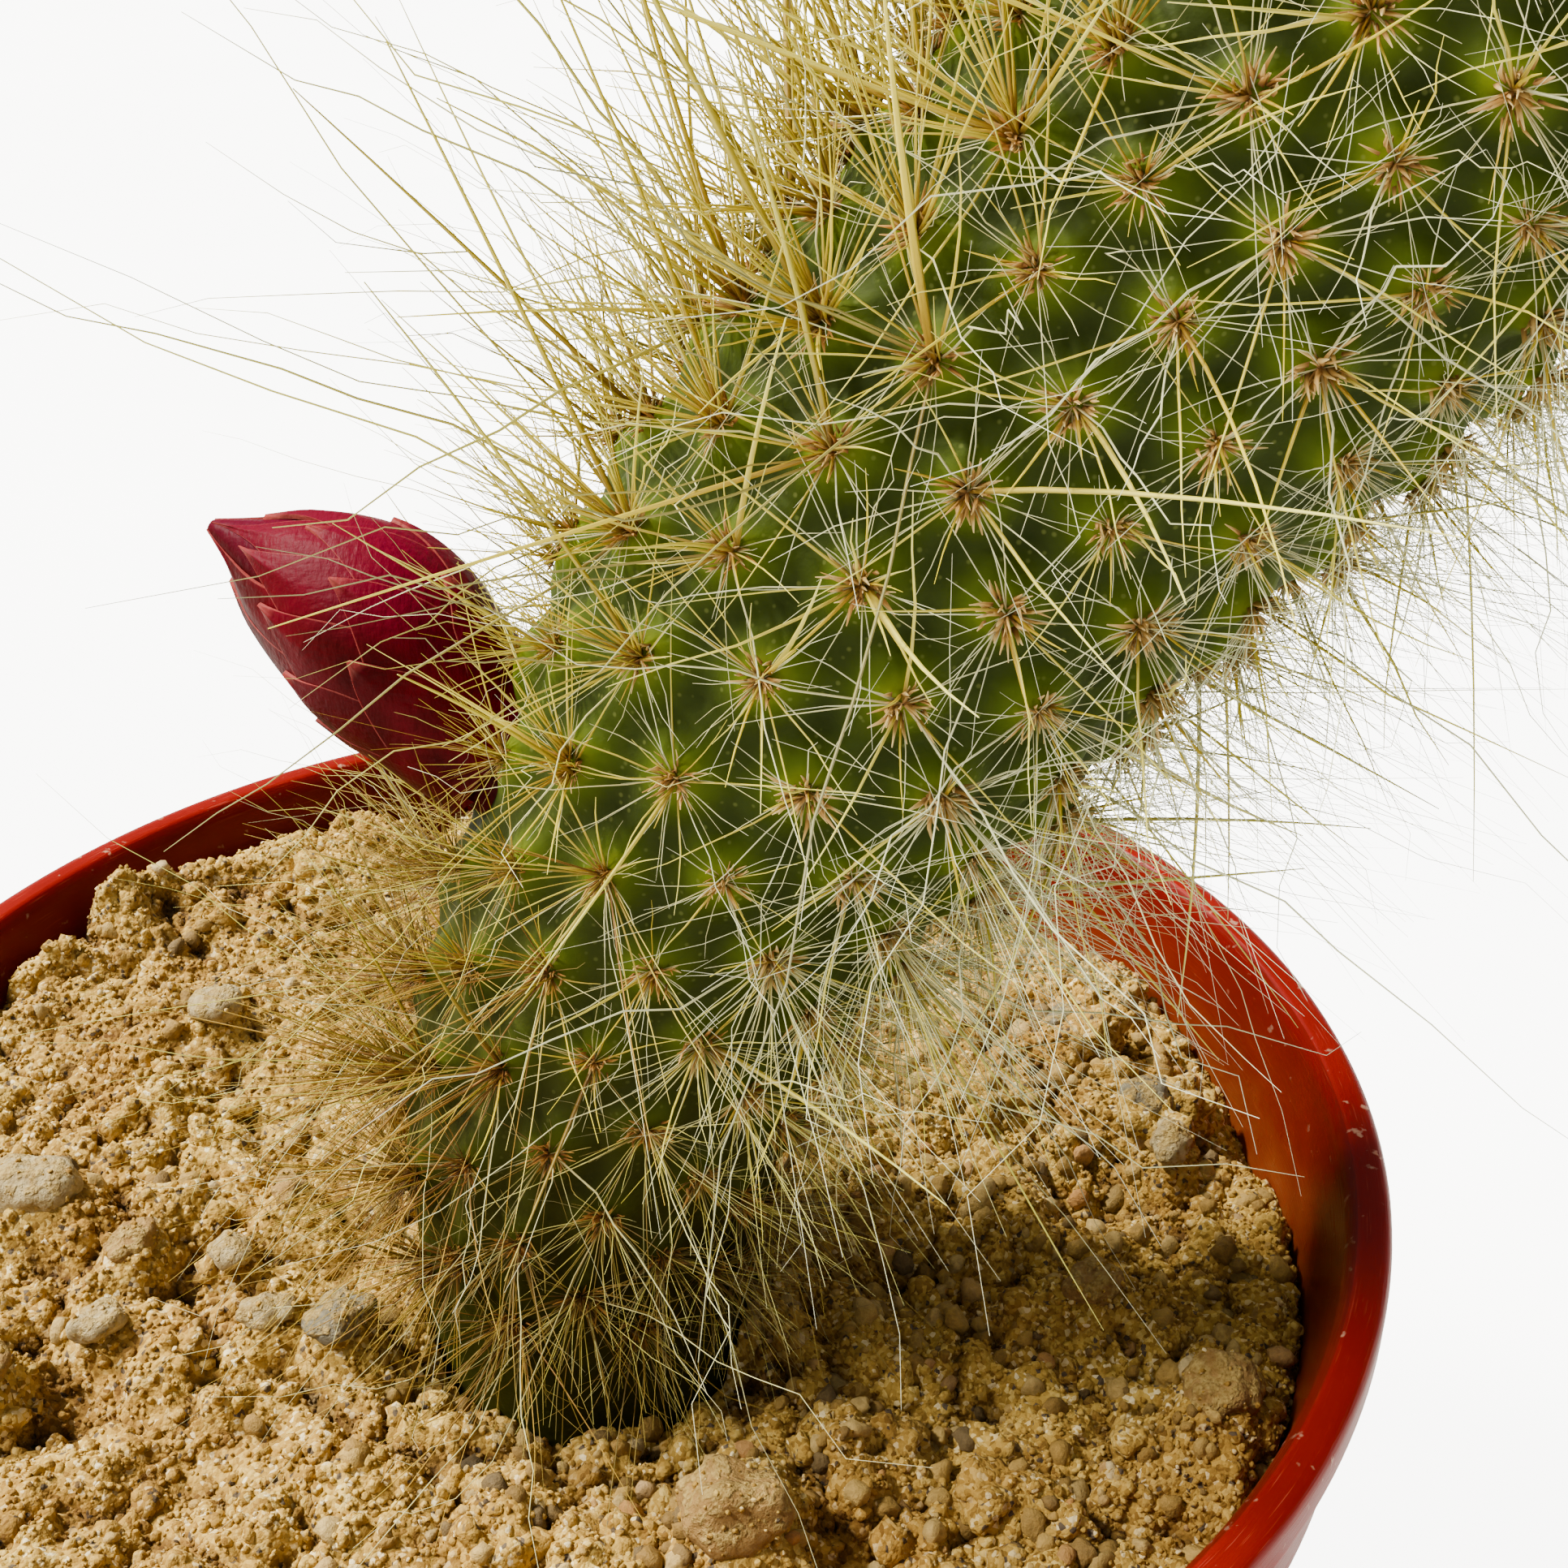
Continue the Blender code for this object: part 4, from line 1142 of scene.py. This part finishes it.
def stone_material(name, dark, light):
    made, tree, shader = new_material(name, 0.8, Specular_IOR_Level=0.35)
    coords = object_coords(tree)
    stone = ramp(noise_of(coords, 900, 6, 0.7), (0.32, dark), (0.66, light))
    cover = maths("MULTIPLY_ADD", normal_up(tree), 0.12, noise_of(coords, 1300, 4))
    dust = ramp(cover, (0.52, 0.0), (0.64, 0.8))
    grains = ramp(noise_of(coords, 3600, 2), (0.35, (0.24, 0.145, 0.03)), (0.65, (0.48, 0.34, 0.10)))
    feed(shader, "Base Color", blend(dust, stone, grains))
    rough = maths("MULTIPLY_ADD", noise_of(coords, 4200, 2), dust, noise_of(coords, 2200, 5, 0.7))
    bump(shader, rough, 0.0005, 0.8)
    return made


# ---------------------------------------------------------------- pot


def pot_profile():
    """Radius and height, from the underside up the outside, over the rim and down the inside."""
    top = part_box("pot")[1].z / MM
    collar, rim, inner = COLLAR_RADIUS / MM, RIM_RADIUS / MM, INNER_MOUTH / MM
    corners = [
        (OUTER_FOOT / MM, 0.0, 0.0),
        (35.1, 0.0, 1.8),
        (OUTER_SHOULDER / MM, 76.0, 0.6),
        (collar, 77.2, 0.5),
        (collar, 84.8, 0.4),
        (rim, 84.8, 0.7),
        (rim, top, 0.9),
        (inner + 0.7, top, 0.25),
        (inner, top - 0.8, 0.5),
        (INNER_FOOT / MM, FLOOR / MM, 2.0),
        (30.0, FLOOR / MM, 0.0),
    ]  # radius, height and rounding, mm
    points = []
    for k, (r, z, rounding) in enumerate(corners):
        if not rounding:
            points.append((r, z))
            continue
        here = np.array((r, z))
        before = np.array(corners[k - 1][:2]) - here
        after = np.array(corners[k + 1][:2]) - here
        start = here + unit(before) * min(rounding, np.linalg.norm(before) / 2)
        end = here + unit(after) * min(rounding, np.linalg.norm(after) / 2)
        for f in np.linspace(0, 1, 5):
            points.append(tuple(start * (1 - f) ** 2 + here * 2 * f * (1 - f) + end * f**2))
    return np.array(points) * MM


def drain_cutter():
    """The drain holes as plugs, to be cut out of the pot's floor."""
    bm = bmesh.new()
    for k in range(DRAIN_HOLES):
        turn = 2 * math.pi * (k + 0.5) / DRAIN_HOLES
        place = Matrix.Translation((DRAIN_CIRCLE * math.cos(turn), DRAIN_CIRCLE * math.sin(turn), FLOOR / 2))
        sizes = dict(radius1=DRAIN_RADIUS, radius2=DRAIN_RADIUS, depth=6 * MM)
        bmesh.ops.create_cone(bm, cap_ends=True, segments=32, matrix=place, **sizes)
    return bmesh_object("drain_cutter", bm)


def make_pot():
    profile = pot_profile()
    turns = np.arange(POT_TURNS) * 2 * math.pi / POT_TURNS
    radius, height = profile[:, 0, None], profile[:, 1, None]
    points = np.stack([radius * np.cos(turns), radius * np.sin(turns), height + 0 * turns], axis=-1)
    verts = np.concatenate([points.reshape(-1, 3), [(0, 0, 0), (0, 0, FLOOR)]])
    pot = mesh_object("plastic_pot", verts, ring_faces(len(profile), POT_TURNS))
    plastic = plastic_material()
    finish_mesh(pot, plastic, 35)
    cutter = drain_cutter()
    cut = pot.modifiers.new("drain_holes", "BOOLEAN")
    cut.object = cutter
    drilled = bpy.data.meshes.new_from_object(pot.evaluated_get(bpy.context.evaluated_depsgraph_get()))
    pot.modifiers.remove(cut)
    pot.data = drilled
    bpy.data.objects.remove(cutter)
    finish_mesh(pot, plastic, 35)
    place_piece(pot, "pot_plastic", "pot")


def plastic_material():
    """Terracotta-red plastic: a little light passes through it, with fine rings of scratches and dust. The
    inner wall is darkened as painted shade, and by the soil it takes sandy dust that also paints light
    reflected from the sand.
    """
    made, tree, shader = new_material(
        "pot_plastic", 0.35, Specular_IOR_Level=0.08,
        Subsurface_Weight=0.25, Subsurface_Scale=0.004, Subsurface_Radius=(1.0, 0.12, 0.05),
    )
    coords = object_coords(tree)
    place = split(coords)
    x, y, z = (place[axis] for axis in "XYZ")
    far = maths("SQRT", x * x + y * y)
    turn = maths("ARCTAN2", y, x)
    rings = combined(tree, X=far * 9000, Y=turn * 14, Z=z * 9000)
    scratch = noise_of(rings, 1.0, 3)
    scratched = ramp(scratch, (0.62, 0.0), (0.72, 1.0))
    cloud = noise_of(coords, 60, 3)
    red = ramp(cloud, (0.3, (0.135, 0.0016, 0.0001)), (0.7, (0.19, 0.0028, 0.0003)))
    specks = ramp(noise_of(coords, 900, 3), (0.66, 0.0), (0.72, 1.0))
    dusty = specks * ramp(z, (0.083, 0.0), (0.087, 0.6))
    colour = blend(scratched * 0.45, red, (0.36, 0.06, 0.035))
    colour = blend(dusty, colour, (0.52, 0.33, 0.22))
    wall_middle = maths("MULTIPLY_ADD", z, WALL_SLOPE, INNER_FOOT - WALL_SLOPE * FLOOR + 0.6 * MM)
    inside = maths("LESS_THAN", far, wall_middle)
    # painted shade: the inner wall is darkened
    colour = blend(inside * 0.45, colour, (0.05, 0.0008, 0.0001))
    # sandy dust on the inner wall by the soil, partly real dust and partly painted light reflected from the
    # sand
    near_soil = ramp(z, (0.0795, 0.3), (0.083, 0.0))
    dust = inside * near_soil * noise_of(coords, 420, 4)
    feed(shader, "Base Color", blend(dust, colour, (0.34, 0.15, 0.028)))
    worn = maths("MULTIPLY_ADD", scratched, 0.25, maths("MULTIPLY_ADD", cloud, 0.2, 0.22))
    feed(shader, "Roughness", worn)
    bump(shader, scratch + specks * 0.5, 0.00005, 0.5)
    return made


# ---------------------------------------------------------------- studio


def only_seen(tree, strength, rest=None):
    """A strength for what the camera sees directly, over the rest that everything is lit by."""
    seen = add(tree, "ShaderNodeLightPath")["Is Camera Ray"]
    return seen * strength if rest is None else maths("MULTIPLY_ADD", seen, strength, rest)


def make_studio():
    """A pale floor, a soft white room and a warm light from the upper left and behind."""
    bm = bmesh.new()
    bmesh.ops.create_grid(bm, x_segments=8, y_segments=8, size=3)
    bmesh.ops.translate(bm, verts=bm.verts, vec=(0, 0, -0.2 * MM))
    floor = bmesh_object("studio_floor", bm)
    made, tree, shader = new_material("studio_floor", 0.9)
    pale = ramp(noise_of(object_coords(tree), 8, 2), (0.3, (0.86, 0.86, 0.85)), (0.7, (0.90, 0.90, 0.89)))
    feed(shader, "Base Color", pale)
    feed(shader, "Emission Color", pale)
    feed(shader, "Emission Strength", only_seen(tree, FLOOR_GLOW))
    floor.data.materials.append(made)
    world = bpy.data.worlds.new("studio")
    world.use_nodes = True
    sky = world.node_tree.nodes["Background"]
    sky.inputs["Color"].default_value = (1.0, 0.99, 0.97, 1)
    feed(sky, "Strength", only_seen(world.node_tree, BACKDROP_LIGHT, ROOM_LIGHT))
    bpy.context.scene.world = world
    add_sun("key", SUN_LIGHT, 4, (1.0, 0.95, 0.82), (0.55, -0.30, -0.80))
    add_sun("side", SIDE_LIGHT, 9, (1.0, 0.95, 0.84), (0.62, 0.12, -0.78))


def add_sun(name, energy, width, colour, direction):
    lamp = bpy.data.lights.new(name, "SUN")
    lamp.angle = math.radians(width)
    lamp.energy = energy
    lamp.color = colour
    link_object(name, lamp).rotation_euler = Vector(direction).to_track_quat("-Z", "Y").to_euler()


def make_camera():
    look_down = math.radians(30.9)
    roll = math.radians(-1.1)
    lens = bpy.data.cameras.new("camera")
    lens.lens = 46.6
    lens.sensor_width = 36
    lens.clip_start = 0.005
    camera = link_object("camera", lens)
    turned = Matrix.Rotation(math.pi / 2 - look_down, 4, "X") @ Matrix.Rotation(roll, 4, "Z")
    camera.matrix_world = Matrix.Translation((13.8 * MM, -99.2 * MM, 170.4 * MM)) @ turned
    bpy.context.scene.camera = camera


make_camera()
make_studio()
make_pot()
make_soil()
make_pebbles()
make_stem()
make_bud()
make_strands(BUD.at[100])
